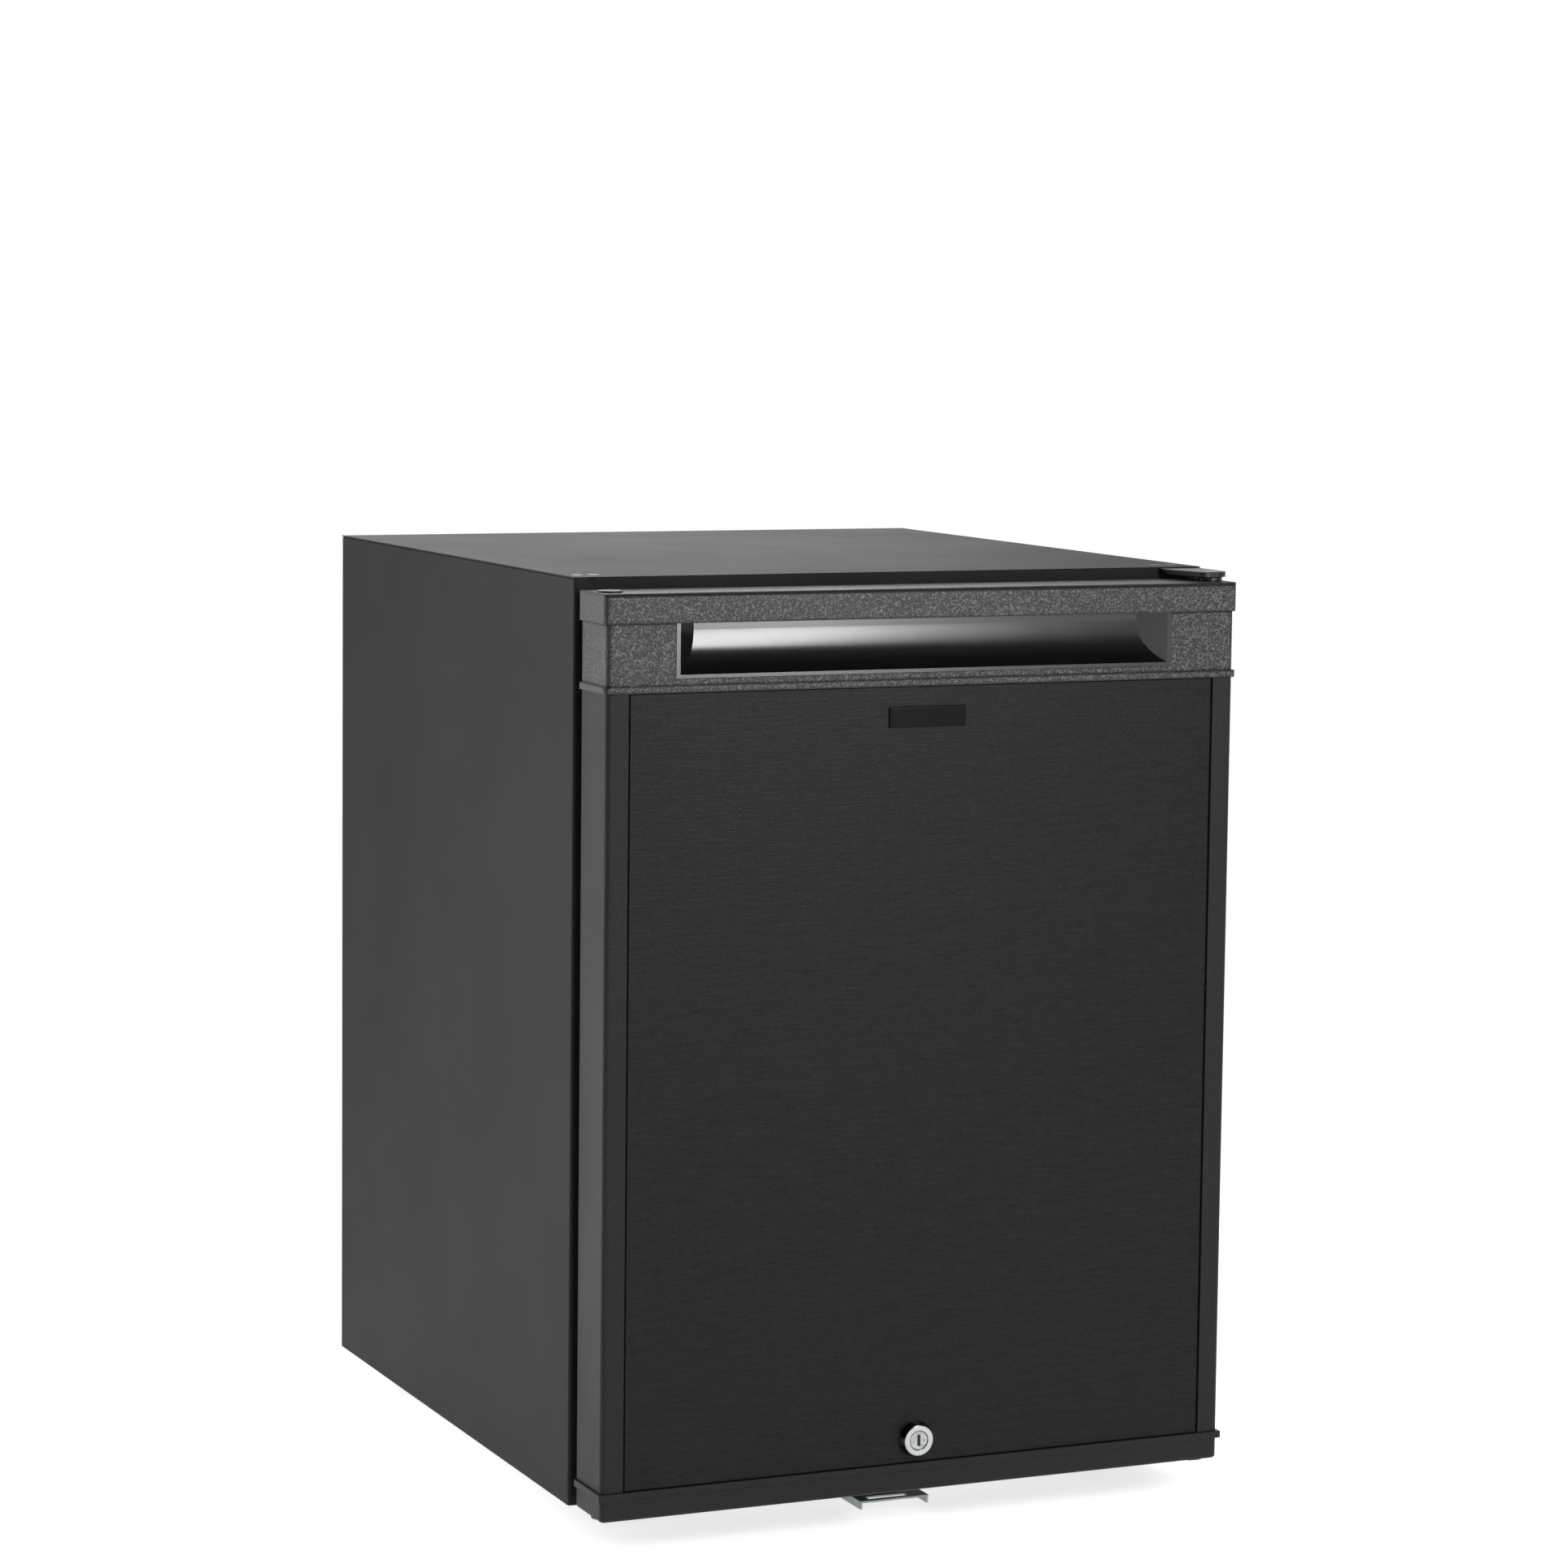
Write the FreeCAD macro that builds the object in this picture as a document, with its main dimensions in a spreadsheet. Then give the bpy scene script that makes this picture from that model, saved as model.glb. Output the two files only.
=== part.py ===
import FreeCAD, Part
import math
import os
import Sketcher
from FreeCAD import Placement, Rotation, Vector

# Minibar fridge with a right-hinged insulated door and an absorption cooling unit in a bay at its back.
# X to the right, front towards -Y, Z up, millimetres. Origin on the floor under the middle of the part.

DRIVING_SIZES = {
    # Cabinet shell
    "cab_width": 402,
    "cab_depth": 420,
    "cab_height": 536,
    "foot_height": 20,
    "skin_gauge": 0.8,
    "skin_bend": 2,
    "edge_break": 0.6,
    "seam_gap": 0.4,
    "flange_width": 12,
    "hem_width": 10,
    "wall_side": 35,
    "wall_top": 35,
    "wall_base": 38,
    "wall_back": 40,
    "bay_depth": 82,
    "slot_width": 6,
    "slot_pitch": 16,
    "slot_count": 20,
    "slot_margin": 16,
    # Liner, front frame and feet
    "liner_gauge": 2,
    "liner_flange": 16,
    "liner_round": 14,
    "frame_gauge": 3,
    "frame_break": 1.2,
    "ledge_depth": 9,
    "ledge_height": 12,
    "ledge_back_clear": 20,
    "foot_radius": 17,
    "foot_taper": 3,
    "foot_round": 2,
    "foot_inset": 45,
    "foot_stem_radius": 4,
    "foot_stem_length": 6,
    # Door
    "door_width": 398,
    "door_depth": 38,
    "door_drop": 6.5,
    "door_rise": 1,
    "gasket_gap": 8,
    "cap_height": 17,
    "cap_proud": 0.8,
    "side_lip": 1.6,
    "rail_height": 39,
    "rib_height": 4,
    "rib_proud": 1,
    "sill_height": 16.7,
    "trim_face": 13.4,
    "trim_back": 10,
    "front_wall": 1.6,
    "shell_wall": 2,
    "cap_front_wall": 3,
    "edge_round": 3,
    "sill_round": 2,
    "panel_gauge": 2,
    "panel_play": 0.2,
    "panel_tuck": 6,
    "field_inset": 0.6,
    "field_groove": 1.2,
    # Handle cup
    "cup_half": 154.6,
    "cup_height": 29.1,
    "cup_depth": 14,
    "cup_straight": 5,
    "cup_run": 13.5,
    "cup_wall": 1.8,
    # Gasket
    "gasket_inset": 14,
    "gasket_side": 12,
    "gasket_width": 15,
    "gasket_base": 2,
    "gasket_neck": 3,
    "gasket_step": 2.5,
    "gasket_round": 0.8,
    "seal_clear": 0.3,
    # Door liner and racks: dyke_inner is in from the side of the cavity,
    # rack_mid and rack_high are down from its roof
    "dyke_inner": 40,
    "dyke_width": 24,
    "dyke_gasket_clear": 22,
    "dyke_depth": 40,
    "dyke_draft": 6,
    "dyke_end": 36,
    "dyke_round": 4,
    "rack_depth": 72,
    "rack_wall": 2.5,
    "rack_round": 12,
    "rack_height": 58,
    "rack_window": 26,
    "rack_rim": 10,
    "rack_window_margin": 22,
    "rack_low": 62,
    "rack_mid": 283,
    "rack_high": 139,
    # Hinges
    "pin_side": 8,
    "pin_front": 16,
    "pin_radius": 4,
    "pin_engage": 13,
    "hinge_gauge": 3,
    "low_hinge_gauge": 2,
    "hinge_end": 9,
    "low_hinge_end": 6,
    "hinge_nose": 5,
    "hinge_reach": 17.5,
    "hinge_side": 9.2,
    "hinge_tail": 58,
    "hinge_slot_clear": 0.3,
    "hinge_screw_back": 20,
    "hinge_screw_pitch": 10,
    "screw_radius": 2,
    "screw_head_radius": 3.5,
    "screw_head": 2.2,
    "screw_crown": 1.4,
    "blank_length": 6,
    "bush_wall": 2,
    "bush_flange": 3.2,
    "run_clear": 0.05,
    "rest_clear": 0.3,
    "plug_rise": 1,
    # Lock and keeper
    "lock_offset": -2,
    "lock_height": 32,
    "lock_proud": 5,
    "lock_collar_radius": 10.4,
    "lock_collar": 1.8,
    "lock_face_radius": 9.2,
    "lock_barrel_radius": 8,
    "lock_barrel": 22,
    "lock_plug_radius": 5.5,
    "lock_face_set": 0.3,
    "keyway_width": 1.6,
    "keyway_height": 6.4,
    "keyway_depth": 8,
    "nut_flats": 22,
    "nut_height": 4,
    "cam_length": 44,
    "cam_width": 10,
    "cam_gauge": 2.5,
    "cam_gap": 2,
    "cam_post_radius": 3,
    "cam_screw_radius": 1.8,
    "cam_screw_length": 11,
    "cam_screw_head": 4.6,
    "cam_room": 6,
    "cam_slot_clear": 1.5,
    "lock_box_wall": 2,
    "lock_box_side": 15,
    "keeper_width": 44,
    "keeper_offset": -4,
    "keeper_gauge": 1.2,
    "keeper_flange": 4.8,
    "keeper_drop": 9,
    "keeper_front": 19,
    "keeper_back": 8,
    "keeper_tab": 32,
    "keeper_screw_pitch": 26,
    "keeper_slot_reach": 19,
    # Cabinet fittings: shelf_low is up from the floor of the cavity, shelf_high down from its roof
    "shelf_low": 130,
    "shelf_high": 201,
    "shelf_front": 86,
    "shelf_back": 8,
    "shelf_side": 3,
    "shelf_corner": 14,
    "shelf_rod": 2.5,
    "shelf_wire": 1.5,
    "shelf_weld": 0.8,
    "shelf_wires": 17,
    "shelf_wire_side": 18.11,
    "evap_half": 108,
    "evap_height": 120,
    "evap_top": 26,
    "evap_plate": 5,
    "fin_depth": 27,
    "fin_gauge": 2,
    "fin_count": 18,
    "tray_half": 118,
    "tray_depth": 44,
    "tray_height": 16,
    "tray_wall": 2,
    "tray_drop": 8,
    "box_width": 88,
    "box_depth": 90,
    "box_height": 40,
    "box_front": 60,
    "box_side": 2,
    "box_round": 5,
    "lens_width": 40,
    "lens_depth": 54,
    "lens_drop": 7,
    "lens_round": 3,
    "knob_radius": 14,
    "knob_height": 12,
    "knob_taper": 1,
    "knob_flute": 1.4,
    "knob_flute_out": 0.5,
    "knob_flutes": 18,
    "knob_mark_width": 1.2,
    "knob_mark_length": 7,
    "knob_mark_rise": 0.6,
    "knob_shaft_radius": 3,
    "knob_shaft": 10,
    "knob_side": 26,
    # Cooling unit: boiler_x is in from the right side of the cabinet; vessel_left, coil_left, coil_drop
    # and condenser_left are in from its left side; coil_right, coil_end and return_right are left of the
    # boiler; feed_x and cfin_left are right of the condenser's left end and return_x is right of the feed
    "unit_back": 40,
    "boiler_x": 55,
    "boiler_low": 112,
    "boiler_height": 256,
    "boiler_radius": 28,
    "boiler_round": 8,
    "vessel_radius": 26,
    "vessel_length": 204,
    "vessel_left": 33,
    "vessel_rise": 56,
    "vessel_round": 14,
    "tube_radius": 7,
    "coil_left": 61,
    "coil_right": 88,
    "coil_pitch": 34,
    "coil_runs": 7,
    "coil_low": 108,
    "coil_end": 70,
    "coil_drop": 51,
    "condenser_rise": 452,
    "condenser_left": 39,
    "condenser_bend": 20,
    "feed_rise": 402,
    "feed_x": 76,
    "return_rise": 384,
    "return_x": 56,
    "return_right": 50,
    "exchanger_radius": 9,
    "cfin_depth": 44,
    "cfin_height": 62,
    "cfin_gauge": 0.8,
    "cfin_pitch": 12,
    "cfin_count": 18,
    "cfin_left": 40,
    "rail_gauge": 1.2,
    "rail_band": 30,
    "rail_depth": 17,
    "rail_side": 4,
    "low_rail_rise": 40,
    "high_rail_rise": 300,
    "terminal_x": 70,
    "terminal_width": 82,
    "terminal_rise": 8,
    "terminal_height": 28,
    "terminal_depth": 28,
    "terminal_round": 3,
    "gland_radius": 9,
    "gland_length": 12,
    "gland_bore": 4,
    "gland_taper": 2,
}

doc = FreeCAD.newDocument("minibar_fridge")
sheet = doc.addObject("Spreadsheet::Sheet", "dims")
for row, (alias, size) in enumerate(DRIVING_SIZES.items(), start=1):
    sheet.set(f"A{row}", str(size))
    sheet.setAlias(f"A{row}", alias)
doc.recompute()

# Planes and levels, worked out from the driving sizes
SKIN = "dims.skin_gauge"
CAB_X = "(dims.cab_width / 2)"
INNER_X = f"({CAB_X} - {SKIN})"
FLANGE_X = f"({CAB_X} - dims.flange_width)"
Z_BASE = "dims.foot_height"
Z_TOP = "(dims.foot_height + dims.cab_height)"
Y_BACK = "((dims.cab_depth + dims.gasket_gap + dims.door_depth + dims.lock_proud) / 2)"
Y_CAB = f"({Y_BACK} - dims.cab_depth)"
Y_BAY = f"({Y_BACK} - dims.bay_depth)"
Y_LINER = f"({Y_CAB} + dims.frame_gauge)"
CAV_X = f"({CAB_X} - dims.wall_side)"
CAV_Y = f"({Y_BAY} - dims.wall_back)"
CAV_LOW = f"({Z_BASE} + dims.wall_base)"
CAV_HIGH = f"({Z_TOP} - dims.wall_top)"

DOOR_X = "(dims.door_width / 2)"
LIP_X = f"({DOOR_X} + dims.side_lip)"
TRIM_X = f"({DOOR_X} - dims.trim_face)"
LINER_X = f"({DOOR_X} - dims.trim_back)"
Y_DOOR_BACK = f"({Y_CAB} - dims.gasket_gap)"
Y_DOOR = f"({Y_DOOR_BACK} - dims.door_depth)"
Y_DOOR_LINER = f"({Y_DOOR_BACK} - dims.shell_wall)"
Y_PANEL = f"({Y_DOOR} + dims.front_wall + dims.panel_play)"
Y_PANEL_BACK = f"({Y_PANEL} + dims.panel_gauge)"
Y_FIELD = f"({Y_DOOR} + dims.field_inset)"
Z_DOOR_LOW = f"({Z_BASE} + dims.door_rise)"
Z_DOOR_TOP = f"({Z_TOP} - dims.door_drop)"
Z_CAP = f"({Z_DOOR_TOP} - dims.cap_height)"
Z_CAP_ROOF = f"({Z_DOOR_TOP} - dims.shell_wall)"
Z_RAIL = f"({Z_CAP} - dims.rail_height)"
Z_SILL = f"({Z_DOOR_LOW} + dims.sill_height)"
Z_SILL_FLOOR = f"({Z_DOOR_LOW} + dims.shell_wall)"

PIN_X = f"({DOOR_X} - dims.pin_side)"
PIN_Y = f"({Y_DOOR} + dims.pin_front)"
Z_PLATE = f"({Z_TOP} - {SKIN} - dims.hinge_gauge)"
HINGE_X = f"({INNER_X} - dims.hinge_side)"
HINGE_SCREW_X = f"({HINGE_X} + (dims.hinge_end - dims.hinge_reach) / 2)"
HINGE_SCREW_Y = f"({Y_CAB} + dims.hinge_screw_back)"

LOCK_X = "dims.lock_offset"
LOCK_Z = f"({Z_BASE} + dims.lock_height)"
Y_CAM = f"({Y_DOOR} + dims.lock_barrel + dims.cam_gap)"
Y_CAM_BACK = f"({Y_CAM} + dims.cam_gauge)"
Z_KEEPER = f"({Z_DOOR_LOW} - dims.keeper_drop)"

GASKET_X = f"({DOOR_X} - dims.gasket_side)"
DYKE_CLEAR_X = f"({GASKET_X} - dims.gasket_width - dims.dyke_gasket_clear - dims.dyke_width)"
DYKE_X = f"min({CAV_X} - dims.dyke_inner; {DYKE_CLEAR_X})"

Y_UNIT = f"({Y_BACK} - dims.unit_back)"
BOILER_X = f"({CAB_X} - dims.boiler_x)"
VESSEL_X = f"(dims.vessel_left - {CAB_X})"
COIL_LEFT_X = f"(dims.coil_left - {CAB_X})"
COIL_RIGHT_X = f"({BOILER_X} - dims.coil_right)"
COIL_END_X = f"({BOILER_X} - dims.coil_end)"
COIL_DROP_X = f"(dims.coil_drop - {CAB_X})"
CONDENSER_X = f"(dims.condenser_left - {CAB_X})"
FEED_X = f"({CONDENSER_X} + dims.feed_x)"
RETURN_X = f"({FEED_X} + dims.return_x)"
RETURN_RIGHT_X = f"({BOILER_X} - dims.return_right)"
CFIN_X = f"({CONDENSER_X} + dims.cfin_left)"
Y_BACK_PANEL = f"({Y_BAY} + {SKIN})"
Y_RAIL = f"({Y_BACK_PANEL} + dims.rail_depth)"
Z_COIL = f"({Z_BASE} + dims.coil_low)"
Z_COIL_TOP = f"({Z_COIL} + (dims.coil_runs - 1) * dims.coil_pitch)"
Z_CONDENSER = f"({Z_BASE} + dims.condenser_rise)"
Z_VESSEL = f"({Z_BASE} + dims.vessel_rise)"
Z_BOILER = f"({Z_BASE} + dims.boiler_low)"
Z_FEED = f"({Z_BASE} + dims.feed_rise)"
Z_RETURN = f"({Z_BASE} + dims.return_rise)"
Y_EVAP = f"({CAV_Y} - dims.evap_plate)"
Z_EVAP_TOP = f"({CAV_HIGH} - dims.evap_top)"
Z_EVAP = f"({Z_EVAP_TOP} - dims.evap_height)"

# Distance under which two places count as one
TOUCH = 0.01

TURN_TO = {
    "+z": Rotation(),
    "-z": Rotation(Vector(1, 0, 0), 180),
    "+y": Rotation(Vector(1, 0, 0), -90),
    "+x": Rotation(Vector(0, 1, 0), 90),
}


def number(text):
    """Value of an expression over the sheet."""
    return float(sheet.evalExpression(text))


def both_sides(half):
    """Range from -half to +half."""
    return f"-({half})", half


def side(sign, text):
    """The expression on the right side, or its mirror on the left."""
    return text if sign > 0 else f"-({text})"


def place(item, x, y, z):
    """Bind the position of an object to three expressions."""
    for axis, text in zip("xyz", (x, y, z)):
        item.setExpression(f"Placement.Base.{axis}", text)


def fit_box(item, xs, ys, zs):
    """Bind a box to three ranges."""
    for size, (low, high) in zip(("Length", "Width", "Height"), (xs, ys, zs)):
        item.setExpression(size, f"{high} - ({low})")
    place(item, xs[0], ys[0], zs[0])


def fit_cylinder(item, toward, x, y, z, radius, length):
    """Bind a cylinder to its foot, direction, radius and length."""
    item.Placement = Placement(Vector(), TURN_TO[toward])
    item.setExpression("Radius", radius)
    item.setExpression("Height", length)
    place(item, x, y, z)


def box(name, xs, ys, zs):
    """Plain block between three ranges."""
    item = doc.addObject("Part::Box", name)
    fit_box(item, xs, ys, zs)
    return item


def rod(name, toward, x, y, z, radius, length):
    """Plain round bar."""
    item = doc.addObject("Part::Cylinder", name)
    fit_cylinder(item, toward, x, y, z, radius, length)
    return item


def cut(name, base, *tools):
    """Base without its tools, one cut after another."""
    result = base
    for count, tool in enumerate(tools, start=1):
        step = doc.addObject("Part::Cut", name if count == len(tools) else f"{name}_cut_{count}")
        step.Base = result
        step.Tool = tool
        result = step
    return result


def fuse(name, *items):
    """One solid out of touching or crossing ones."""
    item = doc.addObject("Part::MultiFuse", name)
    item.Shapes = list(items)
    return item


def common(name, first, second):
    """What two solids share."""
    item = doc.addObject("Part::Common", name)
    item.Base = first
    item.Tool = second
    return item


def group(name, items):
    """Separate solids in one node."""
    item = doc.addObject("Part::Compound", name)
    item.Links = list(items)
    return item


def origin_of(body, role):
    """Origin plane or axis of a body."""
    return next(item for item in body.Origin.OriginFeatures if item.Role == role)


def draw(body, name, plane, loops, offset):
    """Sketch of closed straight-sided loops whose corners are bound to expressions."""
    sketch = body.newObject("Sketcher::SketchObject", name)
    sketch.AttachmentSupport = [(origin_of(body, f"{plane}_Plane"), "")]
    sketch.MapMode = "FlatFace"
    sketch.setExpression("AttachmentOffset.Base.z", offset)
    for loop in loops:
        corners = [Vector(number(u), number(v), 0) for u, v in loop]
        first = sketch.GeometryCount
        ring = range(len(loop))
        following = [(index + 1) % len(loop) for index in ring]
        sketch.addGeometry([Part.LineSegment(corners[index], corners[following[index]]) for index in ring])
        for index in ring:
            sketch.addConstraint(
                Sketcher.Constraint("Coincident", first + index, 2, first + following[index], 1))
        for index, (texts, corner) in enumerate(zip(loop, corners)):
            for kind, text, value in zip(("DistanceX", "DistanceY"), texts, corner):
                bound = sketch.addConstraint(Sketcher.Constraint(kind, -1, 1, first + index, 1, value))
                sketch.setExpression(f"Constraints[{bound}]", text)
    return sketch


def pad(body, name, plane, loops, start, end):
    """Profile extruded from start to end along the normal of its plane."""
    offset = f"-({end})" if plane == "XZ" else start
    sketch = draw(body, f"{name}_profile", plane, loops, offset)
    feature = body.newObject("PartDesign::Pad", name)
    feature.Profile = sketch
    feature.setExpression("Length", f"{end} - ({start})")
    return feature


def extrusion(name, plane, loops, start, end):
    """Body with one extruded profile."""
    body = doc.addObject("PartDesign::Body", name)
    pad(body, f"{name}_pad", plane, loops, start, end)
    return body


def turned(name, outline, toward, x, y, z):
    """Body revolved from (radius, height) corners, standing at x, y, z along a direction."""
    body = doc.addObject("PartDesign::Body", name)
    sketch = draw(body, f"{name}_outline", "XZ", [outline], "0")
    feature = body.newObject("PartDesign::Revolution", f"{name}_turn")
    feature.Profile = sketch
    feature.ReferenceAxis = (sketch, ["V_Axis"])
    feature.Angle = 360
    body.Placement = Placement(Vector(), TURN_TO[toward])
    place(body, x, y, z)
    return body


def block(name, xs, ys, zs):
    """Body that starts as a block."""
    body = doc.addObject("PartDesign::Body", name)
    fit_box(body.newObject("PartDesign::AdditiveBox", f"{name}_block"), xs, ys, zs)
    return body


def add_box(body, name, xs, ys, zs):
    """Block added to a body."""
    item = body.newObject("PartDesign::AdditiveBox", name)
    fit_box(item, xs, ys, zs)
    return item


def cut_box(body, name, xs, ys, zs):
    """Block cut from a body."""
    item = body.newObject("PartDesign::SubtractiveBox", name)
    fit_box(item, xs, ys, zs)
    return item


def bore(body, name, toward, x, y, z, radius, length):
    """Round hole cut into a body."""
    item = body.newObject("PartDesign::SubtractiveCylinder", name)
    fit_cylinder(item, toward, x, y, z, radius, length)
    return item


def repeat(body, name, originals, direction, length, count):
    """Row of copies along an origin axis of the body."""
    pattern = body.newObject("PartDesign::LinearPattern", name)
    pattern.Originals = list(originals)
    pattern.Direction = (origin_of(body, f"{direction}_Axis"), [""])
    pattern.setExpression("Length", length)
    pattern.setExpression("Occurrences", count)
    body.Tip = pattern
    return pattern


def round_edges(body, name, radius, rule):
    """Fillet on the edges of the body's last feature that the rule picks."""
    doc.recompute()
    tip = body.Tip
    picked = [f"Edge{index}" for index, edge in enumerate(tip.Shape.Edges, start=1) if rule(edge)]
    if not picked:
        raise RuntimeError(f"{name}: no edge to round")
    fillet = body.newObject("PartDesign::Fillet", name)
    fillet.Base = (tip, picked)
    fillet.setExpression("Radius", radius)
    return fillet


def runs_along(edge, axis):
    """True for a straight edge along x, y or z."""
    if edge.Curve.TypeId != "Part::GeomLine":
        return False
    direction = edge.Curve.Direction
    return all(abs(getattr(direction, other)) < TOUCH for other in "xyz" if other != axis)


def lies_at(edge, **texts):
    """True for an edge whose middle has the given coordinates."""
    middle = edge.CenterOfMass
    return all(abs(getattr(middle, axis) - number(text)) < TOUCH for axis, text in texts.items())


def lies_in(edge, axis, text):
    """True for an edge that lies whole in a plane square to an axis."""
    low = getattr(edge.BoundBox, f"{axis.upper()}Min")
    high = getattr(edge.BoundBox, f"{axis.upper()}Max")
    return abs(low - number(text)) < TOUCH and abs(high - number(text)) < TOUCH


def bent_tube(name, points, radius, bend):
    """Round tube along straight runs joined by tangent arcs of one radius."""
    corners = [Vector(*(number(text) for text in point)) for point in points]
    bend_radius = number(bend)
    edges = []
    start = corners[0]
    for before, corner, after in zip(corners, corners[1:], corners[2:]):
        inward = (before - corner).normalize()
        outward = (after - corner).normalize()
        half_turn = (math.pi - inward.getAngle(outward)) / 2
        setback = bend_radius * math.tan(half_turn)
        to_centre = (inward + outward).normalize()
        centre = corner + to_centre * (bend_radius / math.cos(half_turn))
        arc_start = corner + inward * setback
        arc_end = corner + outward * setback
        if (arc_start - start).Length > TOUCH:
            edges.append(Part.LineSegment(start, arc_start).toShape())
        edges.append(Part.Arc(arc_start, centre - to_centre * bend_radius, arc_end).toShape())
        start = arc_end
    if (corners[-1] - start).Length > TOUCH:
        edges.append(Part.LineSegment(start, corners[-1]).toShape())
    path = Part.Wire(edges)
    section = Part.Wire(Part.makeCircle(number(radius), corners[0], corners[1] - corners[0]))
    item = doc.addObject("Part::Feature", name)
    item.Shape = path.makePipeShell([section], True, False)
    item.Placement = Placement()
    expected = path.Length * math.pi * number(radius) ** 2
    if abs(item.Shape.Volume / expected - 1) > 0.01:
        raise RuntimeError(f"{name}: the tube's volume is off")
    return item


parts = {}


def node(item):
    """Keep an object as a sub-part under its label."""
    parts[item.Label] = item
    return item


def pan_screw(name, toward, x, y, z, length):
    """Pan-head screw: its head stands outside the seat at x, y, z, and its shank points inward."""
    outline = [
        ("0", f"-({length})"),
        ("dims.screw_radius", f"-({length})"),
        ("dims.screw_radius", "0"),
        ("dims.screw_head_radius", "0"),
        ("dims.screw_head_radius", "dims.screw_head / 2"),
        ("dims.screw_head_radius - dims.screw_crown", "dims.screw_head"),
        ("0", "dims.screw_head"),
    ]
    return turned(name, outline, toward, x, y, z)


def flush_screw(name, x, y, length):
    """Countersunk screw in the top sheet: its head fills the dimple and ends level with the sheet."""
    outline = [
        ("0", f"-({length})"),
        ("dims.screw_radius", f"-({length})"),
        ("dims.screw_radius", f"-{SKIN}"),
        ("dims.screw_head_radius", "0"),
        ("0", "0"),
    ]
    return turned(name, outline, "+z", x, y, Z_TOP)


# Cabinet shell
def make_side_panel(name, sign):
    """Side sheet with a front return flange and a rear hem."""
    plan = [
        (FLANGE_X, Y_CAB),
        (CAB_X, Y_CAB),
        (CAB_X, Y_BACK),
        (f"{CAB_X} - dims.hem_width", Y_BACK),
        (f"{CAB_X} - dims.hem_width", f"{Y_BACK} - {SKIN}"),
        (INNER_X, f"{Y_BACK} - {SKIN}"),
        (INNER_X, f"{Y_CAB} + {SKIN}"),
        (FLANGE_X, f"{Y_CAB} + {SKIN}"),
    ]
    loop = [(side(sign, x), y) for x, y in plan]
    body = extrusion(name, "XY", [loop], Z_BASE, f"{Z_TOP} - {SKIN} - dims.seam_gap")
    inner = side(sign, INNER_X)
    outer = side(sign, CAB_X)
    for end, edge_y in (("front", f"{Y_CAB} + {SKIN}"), ("back", f"{Y_BACK} - {SKIN}")):
        round_edges(body, f"{name}_{end}_inside", f"dims.skin_bend - {SKIN}",
                    lambda edge: runs_along(edge, "z") and lies_at(edge, x=inner, y=edge_y))
    for end, edge_y in (("front", Y_CAB), ("back", Y_BACK)):
        round_edges(body, f"{name}_{end}_bend", "dims.skin_bend",
                    lambda edge: runs_along(edge, "z") and lies_at(edge, x=outer, y=edge_y))
    if sign > 0:
        notch_end = f"{HINGE_X} + dims.hinge_end + dims.hinge_slot_clear"
        cut_box(body, f"{name}_hinge_notch", (FLANGE_X, notch_end),
                (Y_CAB, f"{Y_CAB} + dims.skin_bend"), (f"{Z_PLATE} - dims.hinge_slot_clear", Z_TOP))
    return node(body)


def hinge_screw_places():
    """Names and plan positions of the hinge screws on the right side."""
    for label, step in (("inner", "-"), ("outer", "+")):
        yield label, f"({HINGE_SCREW_X} {step} dims.hinge_screw_pitch / 2)"


def make_top_panel():
    """Top sheet over the side panels, with lips inside them and a front flange slotted for the hinge."""
    lip_in = f"({INNER_X} - {SKIN})"
    roof = f"({Z_TOP} - {SKIN})"
    body = block("top_sheet", both_sides(CAB_X), (Y_CAB, Y_BACK), (roof, Z_TOP))
    for label, sign in (("left", -1), ("right", 1)):
        xs = (lip_in, INNER_X) if sign > 0 else (side(-1, INNER_X), side(-1, lip_in))
        add_box(body, f"top_lip_{label}", xs, (f"{Y_CAB} + dims.skin_bend", f"{Y_BACK} - dims.skin_bend"),
                (f"{Z_TOP} - dims.flange_width", roof))
    add_box(body, "top_front_flange", both_sides(FLANGE_X), (Y_CAB, f"{Y_CAB} + {SKIN}"),
            (f"{Z_TOP} - dims.flange_width", roof))
    cut_box(body, "top_hinge_slot", (f"{HINGE_X} - dims.hinge_reach - dims.hinge_slot_clear", INNER_X),
            (Y_CAB, f"{Y_CAB} + dims.hinge_tail + dims.hinge_slot_clear"),
            (f"{Z_PLATE} - dims.hinge_slot_clear", roof))
    round_edges(body, "top_edge", "dims.edge_break", lambda edge: lies_in(edge, "z", Z_TOP))
    dimple = [
        ("0", f"-{SKIN}"),
        ("dims.screw_radius", f"-{SKIN}"),
        ("dims.screw_head_radius", "0"),
        ("0", "0"),
    ]
    dimples = [
        turned(f"top_dimple_{hand}_{label}", dimple, "+z", side(sign, x), HINGE_SCREW_Y, Z_TOP)
        for label, x in hinge_screw_places()
        for hand, sign in (("left", -1), ("right", 1))
    ]
    return node(cut("top_panel", body, *dimples))


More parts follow.
